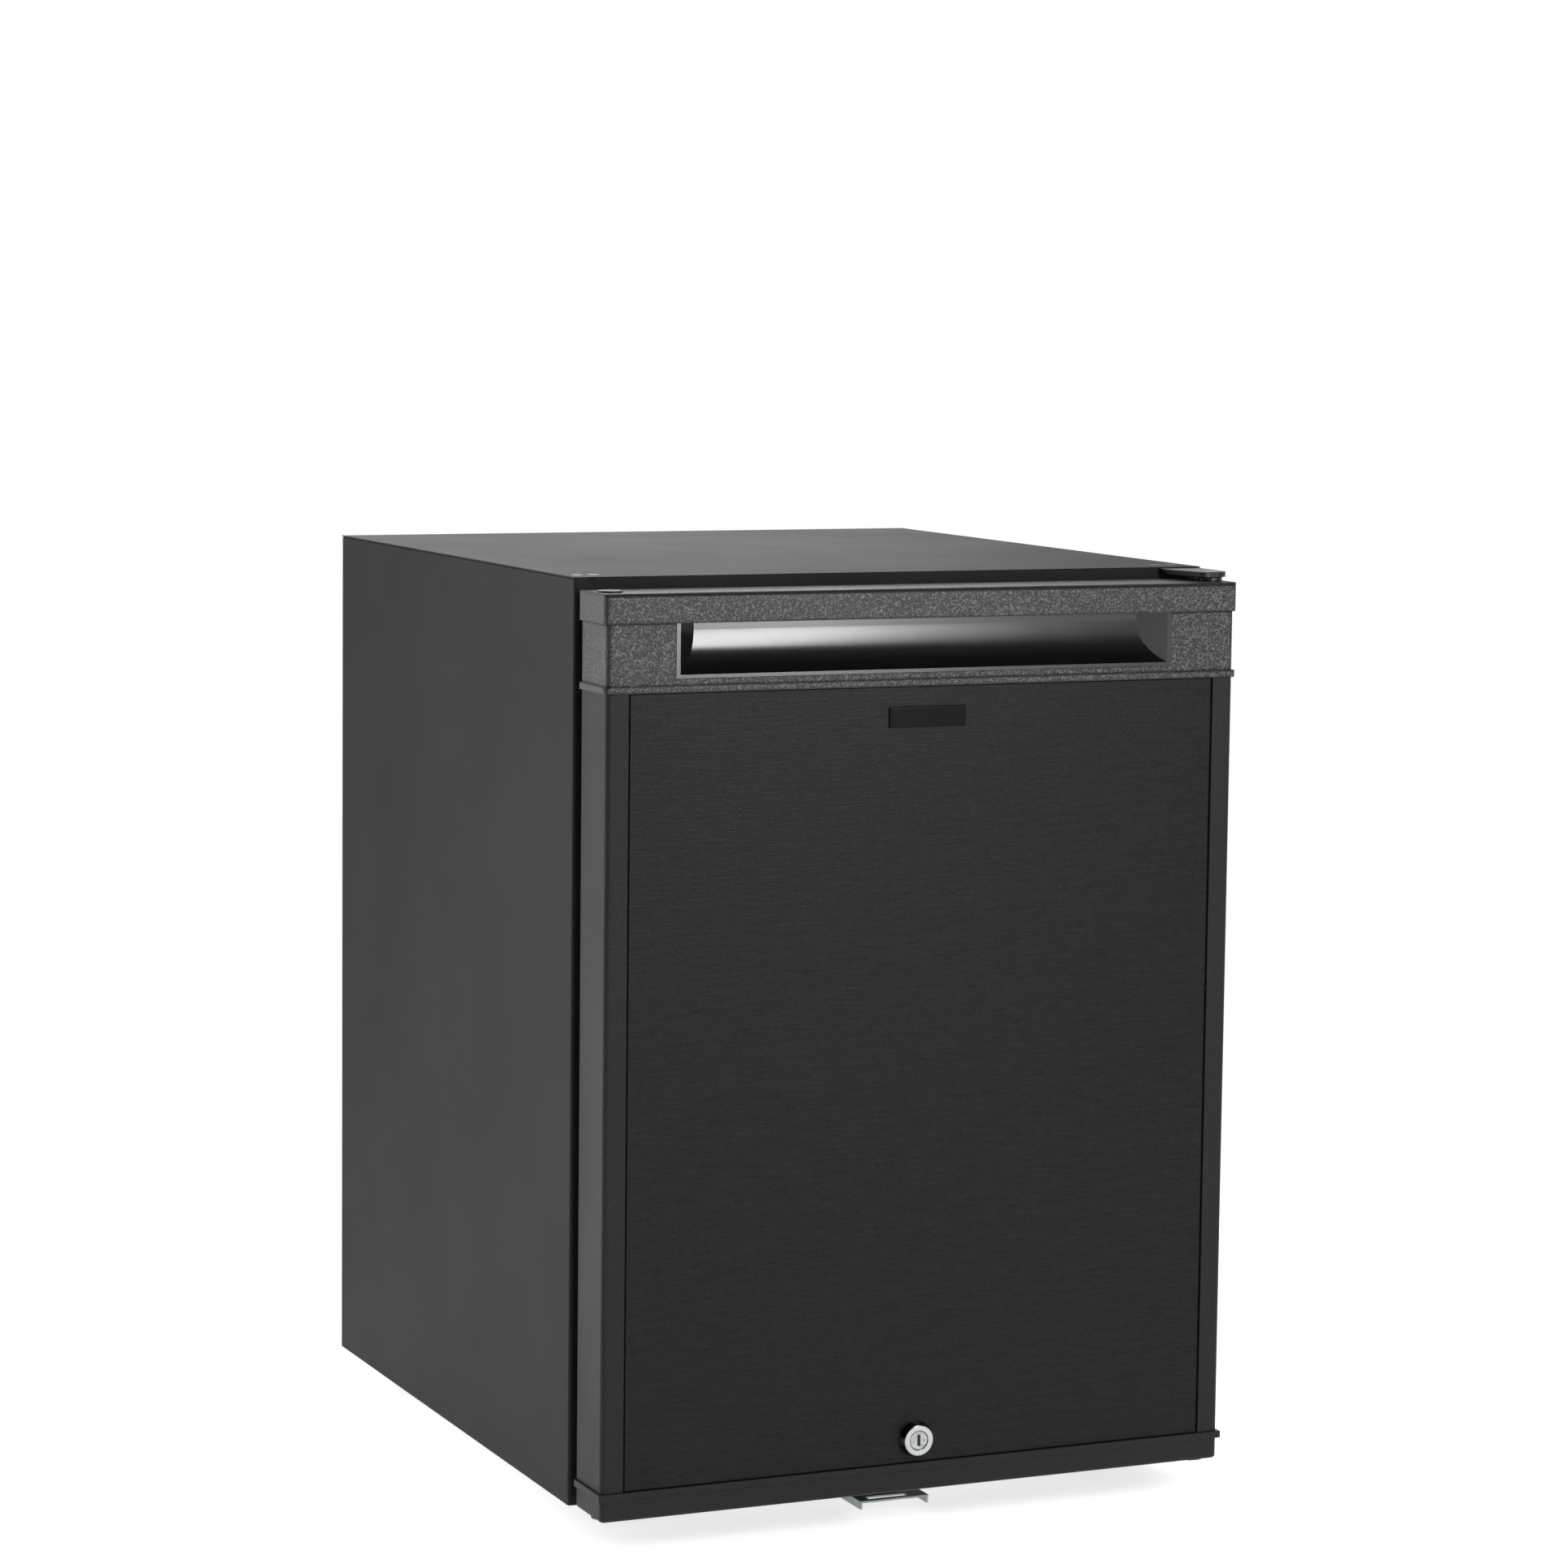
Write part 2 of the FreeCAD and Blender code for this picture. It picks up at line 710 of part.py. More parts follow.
def make_base_pan():
    """Floor sheet with front and rear flanges, and a row of air slots under the rear bay."""
    lip = f"({Z_BASE} + dims.flange_width)"
    floor = f"({Z_BASE} + {SKIN})"
    section = [
        (Y_CAB, Z_BASE),
        (Y_BACK, Z_BASE),
        (Y_BACK, lip),
        (f"{Y_BACK} - {SKIN}", lip),
        (f"{Y_BACK} - {SKIN}", floor),
        (f"{Y_CAB} + {SKIN}", floor),
        (f"{Y_CAB} + {SKIN}", lip),
        (Y_CAB, lip),
    ]
    body = extrusion("base_pan", "YZ", [section], f"-{FLANGE_X}", FLANGE_X)
    add_box(body, "base_floor", both_sides(INNER_X),
            (f"{Y_CAB} + dims.skin_bend", f"{Y_BACK} - dims.skin_bend"), (Z_BASE, floor))
    row = "((dims.slot_count - 1) * dims.slot_pitch)"
    start = f"-{row} / 2 - dims.slot_width / 2"
    slot = cut_box(body, "air_slot", (start, f"{start} + dims.slot_width"),
                   (f"{Y_BAY} + dims.slot_margin", f"{Y_BACK} - dims.slot_margin"), (Z_BASE, floor))
    repeat(body, "air_slots", [slot], "X", row, "dims.slot_count")
    for label, x, y in base_hole_places():
        bore(body, f"base_hole_{label}", "+z", x, y, Z_BASE, "dims.screw_radius", SKIN)
    for label, x, y in foot_places():
        bore(body, f"foot_hole_{label}", "+z", x, y, Z_BASE, "dims.foot_stem_radius", SKIN)
    return node(body)


def base_hole_places():
    """Names and plan positions of the screws under the floor."""
    for label, x in hinge_screw_places():
        yield f"hinge_{label}", x, HINGE_SCREW_Y
    for label, step in (("left", "-"), ("right", "+")):
        x = f"({LOCK_X} + dims.keeper_offset {step} dims.keeper_screw_pitch / 2)"
        yield f"keeper_{label}", x, f"({Y_CAB} + dims.keeper_back + dims.keeper_tab / 2)"


def foot_places():
    """Names and plan positions of the four feet."""
    for depth, y in (("front", f"({Y_CAB} + dims.foot_inset)"), ("back", f"({Y_BACK} - dims.foot_inset)")):
        for hand, sign in (("left", -1), ("right", 1)):
            yield f"{depth}_{hand}", side(sign, f"({CAB_X} - dims.foot_inset)"), y


def make_feet():
    """Four tapered rubber feet, each with a stem pressed into the floor sheet."""
    outline = [
        ("0", "0"),
        ("dims.foot_radius - dims.foot_taper", "0"),
        ("dims.foot_radius", "dims.foot_height"),
        ("dims.foot_stem_radius", "dims.foot_height"),
        ("dims.foot_stem_radius", "dims.foot_height + dims.foot_stem_length"),
        ("0", "dims.foot_height + dims.foot_stem_length"),
    ]
    feet = []
    for label, x, y in foot_places():
        foot = turned(f"foot_{label}", outline, "+z", x, y, "0")
        round_edges(foot, f"foot_{label}_round", "dims.foot_round",
                    lambda edge: abs(edge.BoundBox.ZMax) < TOUCH)
        feet.append(foot)
    return node(group("feet", feet))


# Hinges
def make_hinge_plate(name, end, zs):
    """Flat hinge arm: its tail keeps to the cabinet's side and its rounded end to the door's pin."""
    tail_left = f"({HINGE_X} - dims.hinge_reach)"
    tail_right = f"({HINGE_X} + {end})"
    nose_left = f"({PIN_X} - {end})"
    nose_right = f"({PIN_X} + {end})"
    tail = f"({Y_CAB} + dims.hinge_tail)"
    front = f"({PIN_Y} - {end})"
    plan = [
        (tail_left, tail),
        (tail_left, Y_CAB),
        (f"{PIN_X} - dims.hinge_reach", Y_DOOR_BACK),
        (nose_left, front),
        (nose_right, front),
        (nose_right, Y_DOOR_BACK),
        (tail_right, Y_CAB),
        (tail_right, tail),
    ]
    body = extrusion(name, "XY", [plan], *zs)
    round_edges(body, f"{name}_end", f"{end} - dims.edge_break",
                lambda edge: runs_along(edge, "z") and lies_at(edge, x=nose_right, y=front))
    round_edges(body, f"{name}_nose", "dims.hinge_nose",
                lambda edge: runs_along(edge, "z") and lies_at(edge, x=nose_left, y=front))
    bore(body, f"{name}_pin_hole", "+z", PIN_X, PIN_Y, zs[0], "dims.pin_radius", f"{zs[1]} - ({zs[0]})")
    for label, x in hinge_screw_places():
        bore(body, f"{name}_{label}", "+z", x, HINGE_SCREW_Y, zs[0], "dims.screw_radius",
             f"{zs[1]} - ({zs[0]})")
    return node(body)


def make_hinges():
    """Top and bottom hinge plates, their pins and their screws."""
    low_plate = (f"{Z_BASE} - dims.low_hinge_gauge", Z_BASE)
    make_hinge_plate("hinge_plate_top", "dims.hinge_end", (Z_PLATE, f"{Z_TOP} - {SKIN}"))
    make_hinge_plate("hinge_plate_bottom", "dims.low_hinge_end", low_plate)
    pin_tip = f"({Z_DOOR_TOP} - dims.pin_engage)"
    node(rod("hinge_pin_top", "+z", PIN_X, PIN_Y, pin_tip, "dims.pin_radius",
             f"{Z_TOP} - {SKIN} - {pin_tip}"))
    node(rod("hinge_pin_bottom", "+z", PIN_X, PIN_Y, low_plate[0], "dims.pin_radius",
             f"{Z_DOOR_LOW} + dims.pin_engage - ({low_plate[0]})"))
    lengths = {"hinge_screws": (1, "dims.hinge_gauge"), "blanking_screws": (-1, "dims.blank_length")}
    for name, (sign, length) in lengths.items():
        screws = [
            flush_screw(f"{name}_{label}", side(sign, x), HINGE_SCREW_Y, f"{SKIN} + {length}")
            for label, x in hinge_screw_places()
        ]
        node(group(name, screws))
    seats = {"hinge": "dims.low_hinge_gauge", "keeper": "dims.keeper_gauge"}
    screws = []
    for label, x, y in base_hole_places():
        gauge = seats[label.split("_")[0]]
        seat = f"{Z_BASE} - {gauge}"
        screws.append(pan_screw(f"base_screw_{label}", "-z", x, y, seat, f"{gauge} + {SKIN}"))
    node(group("base_screws", screws))


# Lock keeper under the door
def make_lock_keeper():
    """Bent strap: a tab under the cabinet floor, a riser, and an inverted channel that the cam drops into."""
    middle = f"({LOCK_X} + dims.keeper_offset)"
    left = f"({middle} - dims.keeper_width / 2)"
    right = f"({middle} + dims.keeper_width / 2)"
    gauge = "dims.keeper_gauge"
    foot = f"({Z_KEEPER} - dims.keeper_flange)"
    front = f"({Y_DOOR} + dims.keeper_front)"
    riser = f"({Y_CAB} + dims.keeper_back)"
    channel = [
        (left, foot),
        (f"{left} + {gauge}", foot),
        (f"{left} + {gauge}", f"{Z_KEEPER} - {gauge}"),
        (f"{right} - {gauge}", f"{Z_KEEPER} - {gauge}"),
        (f"{right} - {gauge}", foot),
        (right, foot),
        (right, Z_KEEPER),
        (left, Z_KEEPER),
    ]
    body = extrusion("lock_keeper", "XZ", [channel], front, riser)
    add_box(body, "keeper_riser", (left, right), (f"{riser} - {gauge}", riser),
            (f"{Z_KEEPER} - {gauge}", Z_BASE))
    add_box(body, "keeper_tab", (left, right), (f"{riser} - {gauge}", f"{riser} + dims.keeper_tab"),
            (f"{Z_BASE} - {gauge}", Z_BASE))
    cut_box(body, "keeper_slot",
            (f"{LOCK_X} - dims.keeper_slot_reach", f"{LOCK_X} + dims.cam_width / 2 + dims.cam_slot_clear"),
            (f"{Y_CAM} - dims.cam_slot_clear", f"{Y_CAM_BACK} + dims.cam_slot_clear"),
            (f"{Z_KEEPER} - {gauge}", Z_KEEPER))
    for label, x, y in base_hole_places():
        if label.startswith("keeper"):
            bore(body, f"{label}_hole", "+z", x, y, f"{Z_BASE} - {gauge}", "dims.screw_radius", gauge)
    return node(body)


# Insulated box
def rounded_cavity(name, grow):
    """Cavity of the liner with its round corners, grown outward by a thickness."""
    xs = both_sides(f"({CAV_X} + {grow})")
    zs = (f"({CAV_LOW} - {grow})", f"({CAV_HIGH} + {grow})")
    back = f"({CAV_Y} + {grow})"
    body = block(name, xs, (Y_CAB, back), zs)
    round_edges(body, f"{name}_round", f"dims.liner_round + {grow}",
                lambda edge: runs_along(edge, "y") or lies_in(edge, "y", back))
    return body


def shelf_levels():
    """Names and heights of the two shelves above the floor of the cavity."""
    yield "lower", f"({CAV_LOW} + dims.shelf_low)"
    yield "upper", f"({CAV_HIGH} - dims.shelf_high)"


def make_liner():
    """Thermoformed tub with a front flange and two pairs of shelf ledges."""
    shell = rounded_cavity("liner_shell", "dims.liner_gauge")
    cavity = rounded_cavity("liner_cavity", "0")
    tub_front = box("liner_front", both_sides(CAB_X), (Y_CAB, Y_LINER), (Z_BASE, Z_TOP))
    reach = f"({CAV_X} + dims.liner_flange)"
    flange = box("liner_flange", both_sides(reach), (Y_LINER, f"{Y_LINER} + dims.liner_gauge"),
                 (f"{CAV_LOW} - dims.liner_flange", f"{CAV_HIGH} + dims.liner_flange"))
    ledges = []
    for level, height in shelf_levels():
        for hand, sign in (("left", -1), ("right", 1)):
            section = [
                (side(sign, CAV_X), height),
                (side(sign, f"({CAV_X} - dims.ledge_depth)"), height),
                (side(sign, f"({CAV_X} - dims.ledge_depth)"), f"{height} - dims.ledge_height / 2"),
                (side(sign, CAV_X), f"{height} - dims.ledge_height"),
            ]
            ledges.append(extrusion(f"ledge_{level}_{hand}", "XZ", [section],
                                    f"{Y_CAB} + dims.shelf_front",
                                    f"{CAV_Y} - dims.ledge_back_clear"))
    tub = cut("liner_tub", fuse("liner_blank", shell, flange), cavity, tub_front)
    ports = pipe_ports("liner", CAV_Y, f"{CAV_Y} + dims.liner_gauge")
    return node(cut("inner_liner", fuse("liner_ledged", tub, *ledges), *ports))


def pipe_ports(name, start, end):
    """Round holes for the two pipes that pass through the back wall."""
    places = (("feed", FEED_X, Z_FEED), ("return", RETURN_X, Z_RETURN))
    return [
        rod(f"{name}_{label}_port", "+y", x, start, z, "dims.tube_radius", f"{end} - ({start})")
        for label, x, z in places
    ]


def make_foam():
    """Foam between the outer sheets and the liner."""
    blank = box("foam_blank", both_sides(INNER_X), (f"{Y_LINER} + dims.liner_gauge", Y_BAY),
                (f"{Z_BASE} + {SKIN}", f"{Z_TOP} - {SKIN}"))
    lip_in = f"({INNER_X} - {SKIN})"
    lip_rooms = []
    for hand, sign in (("left", -1), ("right", 1)):
        xs = (lip_in, INNER_X) if sign > 0 else (side(-1, INNER_X), side(-1, lip_in))
        lip_rooms.append(box(f"foam_lip_{hand}", xs, (Y_CAB, Y_BAY),
                             (f"{Z_TOP} - dims.flange_width", Z_TOP)))
    plate_room = box("foam_hinge_room",
                     (f"{HINGE_X} - dims.hinge_reach", f"{HINGE_X} + dims.hinge_end"),
                     (Y_CAB, f"{Y_CAB} + dims.hinge_tail"), (Z_PLATE, Z_TOP))
    foot_rooms = [
        rod(f"foam_foot_{label}", "+z", x, y, Z_BASE, "dims.foot_stem_radius", "dims.foot_stem_length")
        for label, x, y in foot_places()
    ]
    screw_rooms = [
        rod(f"foam_screw_{label}", "+z", side(-1, x), HINGE_SCREW_Y, f"{Z_TOP} - {SKIN} - dims.blank_length",
            "dims.screw_radius", "dims.blank_length")
        for label, x in hinge_screw_places()
    ]
    ports = pipe_ports("foam", CAV_Y, Y_BAY)
    tub = rounded_cavity("foam_tub", "dims.liner_gauge")
    rooms = [plate_room, *lip_rooms, *foot_rooms, *screw_rooms, *ports]
    return node(cut("insulation_foam", blank, tub, *rooms))


def make_front_frame():
    """Flat frame round the opening, which the gasket seals on."""
    outer = [
        (f"-{FLANGE_X}", f"{Z_BASE} + dims.flange_width"),
        (FLANGE_X, f"{Z_BASE} + dims.flange_width"),
        (FLANGE_X, f"{Z_TOP} - dims.flange_width"),
        (f"-{FLANGE_X}", f"{Z_TOP} - dims.flange_width"),
    ]
    opening = [(f"-{CAV_X}", CAV_LOW), (CAV_X, CAV_LOW), (CAV_X, CAV_HIGH), (f"-{CAV_X}", CAV_HIGH)]
    body = extrusion("front_frame", "XZ", [outer, opening], Y_CAB, Y_LINER)
    reach = number(CAV_X)
    round_edges(body, "frame_corner", "dims.liner_round",
                lambda edge: runs_along(edge, "y") and abs(abs(edge.CenterOfMass.x) - reach) < TOUCH)
    round_edges(body, "frame_edge", "dims.frame_break",
                lambda edge: lies_in(edge, "y", Y_CAB) and abs(edge.CenterOfMass.x) < reach + TOUCH
                and number(CAV_LOW) - TOUCH < edge.CenterOfMass.z < number(CAV_HIGH) + TOUCH)
    return node(body)


def make_back_panel():
    """Sheet that closes the foam towards the rear bay."""
    sheet_blank = box("back_blank", both_sides(f"({INNER_X} - {SKIN})"), (Y_BAY, Y_BACK_PANEL),
                      (f"{Z_BASE} + {SKIN}", f"{Z_TOP} - {SKIN}"))
    return node(cut("back_panel", sheet_blank, *pipe_ports("back", Y_BAY, Y_BACK_PANEL)))


# Fittings inside the cabinet
def make_shelf(name, height):
    """Wire shelf: a round-cornered rod frame with a row of cross wires welded on it."""
    half = f"({CAV_X} - dims.shelf_side)"
    front = f"({Y_CAB} + dims.shelf_front)"
    back = f"({CAV_Y} - dims.shelf_back)"
    level = f"({height} + dims.shelf_rod)"
    corner = "dims.shelf_corner"
    wide = f"2 * ({half} - {corner})"
    deep = f"{back} - {front} - 2 * {corner}"
    pieces = [
        rod(f"{name}_front", "+x", f"{corner} - {half}", front, level, "dims.shelf_rod", wide),
        rod(f"{name}_back", "+x", f"{corner} - {half}", back, level, "dims.shelf_rod", wide),
        rod(f"{name}_left", "+y", f"-{half}", f"{front} + {corner}", level, "dims.shelf_rod", deep),
        rod(f"{name}_right", "+y", half, f"{front} + {corner}", level, "dims.shelf_rod", deep),
    ]
    bends = [
        (f"{half} - {corner}", f"{back} - {corner}"),
        (f"{corner} - {half}", f"{back} - {corner}"),
        (f"{corner} - {half}", f"{front} + {corner}"),
        (f"{half} - {corner}", f"{front} + {corner}"),
    ]
    for quarter, (x, y) in enumerate(bends):
        bend = doc.addObject("Part::Torus", f"{name}_bend_{quarter}")
        bend.setExpression("Radius1", corner)
        bend.setExpression("Radius2", "dims.shelf_rod")
        bend.Angle3 = 90
        bend.Placement = Placement(Vector(), Rotation(Vector(0, 0, 1), 90 * quarter))
        place(bend, x, y, level)
        pieces.append(bend)
    count = int(number("dims.shelf_wires"))
    wire_level = f"{level} + dims.shelf_rod + dims.shelf_wire - dims.shelf_weld"
    row = f"({half} - dims.shelf_wire_side)"
    for index in range(count):
        x = f"(2 * {index} / {count - 1} - 1) * {row}"
        pieces.append(rod(f"{name}_wire_{index}", "+y", x, front, wire_level, "dims.shelf_wire",
                          f"{back} - {front}"))
    return node(fuse(name, *pieces))


def make_evaporator():
    """Aluminium cold plate on the back wall with a row of upright fins."""
    body = block("evaporator", both_sides("dims.evap_half"), (Y_EVAP, CAV_Y), (Z_EVAP, Z_EVAP_TOP))
    fin = add_box(body, "cold_fin", ("-dims.evap_half", "dims.fin_gauge - dims.evap_half"),
                  (f"{Y_EVAP} - dims.fin_depth", Y_EVAP), (Z_EVAP, Z_EVAP_TOP))
    repeat(body, "cold_fins", [fin], "X", "2 * dims.evap_half - dims.fin_gauge", "dims.fin_count")
    return node(body)


def make_drip_tray():
    """Trough under the cold plate, hung on the back wall."""
    low = f"({Z_EVAP} - dims.tray_drop - dims.tray_height)"
    wall = "dims.tray_wall"
    front = f"({CAV_Y} - dims.tray_depth)"
    body = block("drip_tray", both_sides("dims.tray_half"), (front, CAV_Y),
                 (low, f"{low} + dims.tray_height"))
    cut_box(body, "drip_hollow", both_sides(f"(dims.tray_half - {wall})"),
            (f"{front} + {wall}", f"{CAV_Y} - {wall}"), (f"{low} + {wall}", f"{low} + dims.tray_height"))
    round_edges(body, "drip_edge", wall,
                lambda edge: lies_in(edge, "y", front) and lies_in(edge, "z", low))
    return node(body)


def make_control_box():
    """Housing under the ceiling with the lamp lens below it and the thermostat knob in front."""
    right = f"({CAV_X} - dims.liner_round - dims.box_side)"
    left = f"({right} - dims.box_width)"
    front = f"({Y_CAB} + dims.box_front)"
    back = f"({front} + dims.box_depth)"
    low = f"({CAV_HIGH} - dims.box_height)"
    body = block("control_housing", (left, right), (front, back), (low, CAV_HIGH))
    round_edges(body, "control_round", "dims.box_round",
                lambda edge: runs_along(edge, "z") or (lies_in(edge, "z", low)))
    knob_x = f"({right} - dims.knob_side)"
    knob_z = f"({low} + dims.box_height / 2)"
    bore(body, "knob_bore", "+y", knob_x, front, knob_z, "dims.knob_shaft_radius + dims.run_clear",
         "dims.knob_shaft + dims.rest_clear")
    node(body)
    lens_x = (f"({left} + dims.box_round)", f"({left} + dims.box_round + dims.lens_width)")
    middle = f"(({front} + {back}) / 2)"
    lens = block("lamp_lens", lens_x,
                 (f"{middle} - dims.lens_depth / 2", f"{middle} + dims.lens_depth / 2"),
                 (f"{low} - dims.lens_drop", low))
    round_edges(lens, "lens_round_edge", "dims.lens_round",
                lambda edge: runs_along(edge, "z") or lies_in(edge, "z", f"{low} - dims.lens_drop"))
    node(lens)
    outline = [
        ("0", "dims.knob_shaft"),
        ("dims.knob_shaft_radius", "dims.knob_shaft"),
        ("dims.knob_shaft_radius", "-dims.rest_clear"),
        ("dims.knob_radius", "-dims.rest_clear"),
        ("dims.knob_radius - dims.knob_taper", "-dims.knob_height"),
        ("0", "-dims.knob_height"),
    ]
    knob = turned("thermostat_knob", outline, "+y", knob_x, front, knob_z)
    flute = knob.newObject("PartDesign::SubtractiveCylinder", "knob_flute_cut")
    fit_cylinder(flute, "+z", "dims.knob_radius + dims.knob_flute_out", "0", "-dims.knob_height",
                 "dims.knob_flute", "dims.knob_height - dims.rest_clear")
    flutes = knob.newObject("PartDesign::PolarPattern", "knob_flutes_ring")
    flutes.Originals = [flute]
    flutes.Axis = (origin_of(knob, "Z_Axis"), [""])
    flutes.Angle = 360
    flutes.setExpression("Occurrences", "dims.knob_flutes")
    knob.Tip = flutes
    mark_tip = "dims.knob_radius - dims.knob_taper"
    add_box(knob, "knob_mark", ("-dims.knob_mark_width / 2", "dims.knob_mark_width / 2"),
            (f"{mark_tip} - dims.knob_mark_length", mark_tip),
            ("-dims.knob_height - dims.knob_mark_rise", "-dims.knob_height"))
    node(knob)


# Cooling unit in the rear bay
def make_cooling_unit():
    """Boiler, condenser, absorber and the pipes between them."""
    height = "dims.boiler_height"
    boiler = turned("boiler_jacket", [("0", "0"), ("dims.boiler_radius", "0"), ("dims.boiler_radius", height),
                                      ("0", height)], "+z", BOILER_X, Y_UNIT, Z_BOILER)
    round_edges(boiler, "boiler_shoulder", "dims.boiler_round", is_rim)
    node(boiler)
    length = "dims.vessel_length"
    drum = [("0", "0"), ("dims.vessel_radius", "0"), ("dims.vessel_radius", length), ("0", length)]
    vessel = turned("absorber_vessel", drum, "+x", VESSEL_X, Y_UNIT, Z_VESSEL)
    round_edges(vessel, "vessel_dome", "dims.vessel_round", is_rim)
    node(vessel)
    node(cut("absorber_coil", make_coil_tube(), vessel))
    bend = "dims.condenser_bend"
    route = [
        (BOILER_X, Y_UNIT, f"{Z_BOILER} + {height}"),
        (BOILER_X, Y_UNIT, Z_CONDENSER),
        (CONDENSER_X, Y_UNIT, Z_CONDENSER),
        (CONDENSER_X, Y_UNIT, Z_FEED),
        (FEED_X, Y_UNIT, Z_FEED),
        (FEED_X, CAV_Y, Z_FEED),
    ]
    tube = node(bent_tube("condenser_tube", route, "dims.tube_radius", bend))
    route = [
        (RETURN_X, CAV_Y, Z_RETURN),
        (RETURN_X, Y_UNIT, Z_RETURN),
        (RETURN_RIGHT_X, Y_UNIT, Z_RETURN),
        (RETURN_RIGHT_X, Y_UNIT, Z_COIL_TOP),
        (COIL_END_X, Y_UNIT, Z_COIL_TOP),
    ]
    node(bent_tube("gas_return_pipe", route, "dims.tube_radius", bend))
    route = [
        (f"{VESSEL_X} + {length}", Y_UNIT, Z_VESSEL),
        (BOILER_X, Y_UNIT, Z_VESSEL),
        (BOILER_X, Y_UNIT, Z_BOILER),
    ]
    node(bent_tube("heat_exchanger", route, "dims.exchanger_radius", bend))
    fins = []
    for index in range(int(number("dims.cfin_count"))):
        start = f"({CFIN_X} + {index} * dims.cfin_pitch)"
        fins.append(box(f"condenser_fin_{index}", (start, f"{start} + dims.cfin_gauge"),
                        (f"{Y_UNIT} - dims.cfin_depth / 2", f"{Y_UNIT} + dims.cfin_depth / 2"),
                        (f"{Z_CONDENSER} - dims.cfin_height / 2", f"{Z_CONDENSER} + dims.cfin_height / 2")))
    node(cut("condenser_fins", group("condenser_fin_row", fins), tube))
    for name, rise, carried in (("unit_rail_lower", "dims.low_rail_rise", vessel),
                                ("unit_rail_upper", "dims.high_rail_rise", boiler)):
        node(cut(name, make_unit_rail(f"{name}_blank", f"({Z_BASE} + {rise})"), carried))


def is_rim(edge):
    """True for the full circles at the ends of a drum."""
    return edge.Curve.TypeId == "Part::GeomCircle"


def make_coil_tube():
    """Serpentine absorber tube: level runs joined by half turns, its lower end dropped into the vessel."""
    points = [(COIL_END_X, Y_UNIT, Z_COIL_TOP)]
    runs = int(number("dims.coil_runs"))
    for index in range(runs):
        level = f"({Z_COIL_TOP} - {index} * dims.coil_pitch)"
        ends = (COIL_RIGHT_X, COIL_LEFT_X)
        if index % 2:
            ends = ends[::-1]
        if index:
            points.append((ends[0], Y_UNIT, level))
        if index < runs - 1:
            points.append((ends[1], Y_UNIT, level))
    points.append((COIL_DROP_X, Y_UNIT, Z_COIL))
    points.append((COIL_DROP_X, Y_UNIT, Z_VESSEL))
    return bent_tube("coil_tube", points, "dims.tube_radius", "dims.coil_pitch / 2")


def make_unit_rail(name, low):
    """Channel across the back panel that the unit is strapped to."""
    high = f"({low} + dims.rail_band)"
    gauge = "dims.rail_gauge"
    section = [
        (Y_BACK_PANEL, low),
        (Y_RAIL, low),
        (Y_RAIL, high),
        (Y_BACK_PANEL, high),
        (Y_BACK_PANEL, f"{high} - {gauge}"),
        (f"{Y_RAIL} - {gauge}", f"{high} - {gauge}"),
        (f"{Y_RAIL} - {gauge}", f"{low} + {gauge}"),
        (Y_BACK_PANEL, f"{low} + {gauge}"),
    ]
    half = f"({FLANGE_X} - dims.rail_side)"
    return extrusion(name, "YZ", [section], f"-{half}", half)


def make_terminal_box():
    """Junction box on the back panel with the gland of the supply lead."""
    xs = ("dims.terminal_x", "(dims.terminal_x + dims.terminal_width)")
    low = f"({Z_BASE} + dims.terminal_rise)"
    back = f"({Y_BACK_PANEL} + dims.terminal_depth)"
    body = block("terminal_box", xs, (Y_BACK_PANEL, back), (low, f"{low} + dims.terminal_height"))
    round_edges(body, "terminal_edge", "dims.terminal_round",
                lambda edge: runs_along(edge, "y") or lies_in(edge, "y", back))
    node(body)
    outline = [
        ("dims.gland_bore", "0"),
        ("dims.gland_radius", "0"),
        ("dims.gland_radius", "dims.gland_length / 2"),
        ("dims.gland_radius - dims.gland_taper", "dims.gland_length"),
        ("dims.gland_bore", "dims.gland_length"),
    ]
    node(turned("cable_gland", outline, "+x", xs[1], f"{Y_BACK_PANEL} + dims.terminal_depth / 2",
                f"{low} + dims.terminal_height / 2"))


# Door shell
def wrap_plan(half, front, wall_front):
    """Plan of a moulding that wraps the door's front and sides and returns at the back."""
    wall = "dims.shell_wall"
    plan = [
        (half, front),
        (half, Y_DOOR_BACK),
        (LINER_X, Y_DOOR_BACK),
        (LINER_X, Y_DOOR_LINER),
        (f"{DOOR_X} - {wall}", Y_DOOR_LINER),
        (f"{DOOR_X} - {wall}", wall_front),
    ]
    mirrored = [(side(-1, x), y) for x, y in reversed(plan)]
    return plan + mirrored


def make_trim(name, sign):
    """Side moulding: a rounded front lip that holds the panel, the side wall and a rear return."""
    wall = "dims.shell_wall"
    lip = f"({Y_DOOR} + dims.front_wall)"
    plan = [
        (TRIM_X, Y_DOOR),
        (DOOR_X, Y_DOOR),
        (DOOR_X, Y_DOOR_BACK),
        (LINER_X, Y_DOOR_BACK),
        (LINER_X, Y_DOOR_LINER),
        (f"{DOOR_X} - {wall}", Y_DOOR_LINER),
        (f"{DOOR_X} - {wall}", lip),
        (TRIM_X, lip),
    ]
    body = extrusion(name, "XY", [[(side(sign, x), y) for x, y in plan]], Z_SILL, Z_RAIL)
    inner = side(sign, f"({DOOR_X} - {wall})")
    outer = side(sign, DOOR_X)
    round_edges(body, f"{name}_inside", "dims.edge_round - dims.front_wall",
                lambda edge: runs_along(edge, "z") and lies_at(edge, x=inner, y=lip))
    round_edges(body, f"{name}_corner", "dims.edge_round",
                lambda edge: runs_along(edge, "z") and lies_at(edge, x=outer, y=Y_DOOR))
    return node(body)


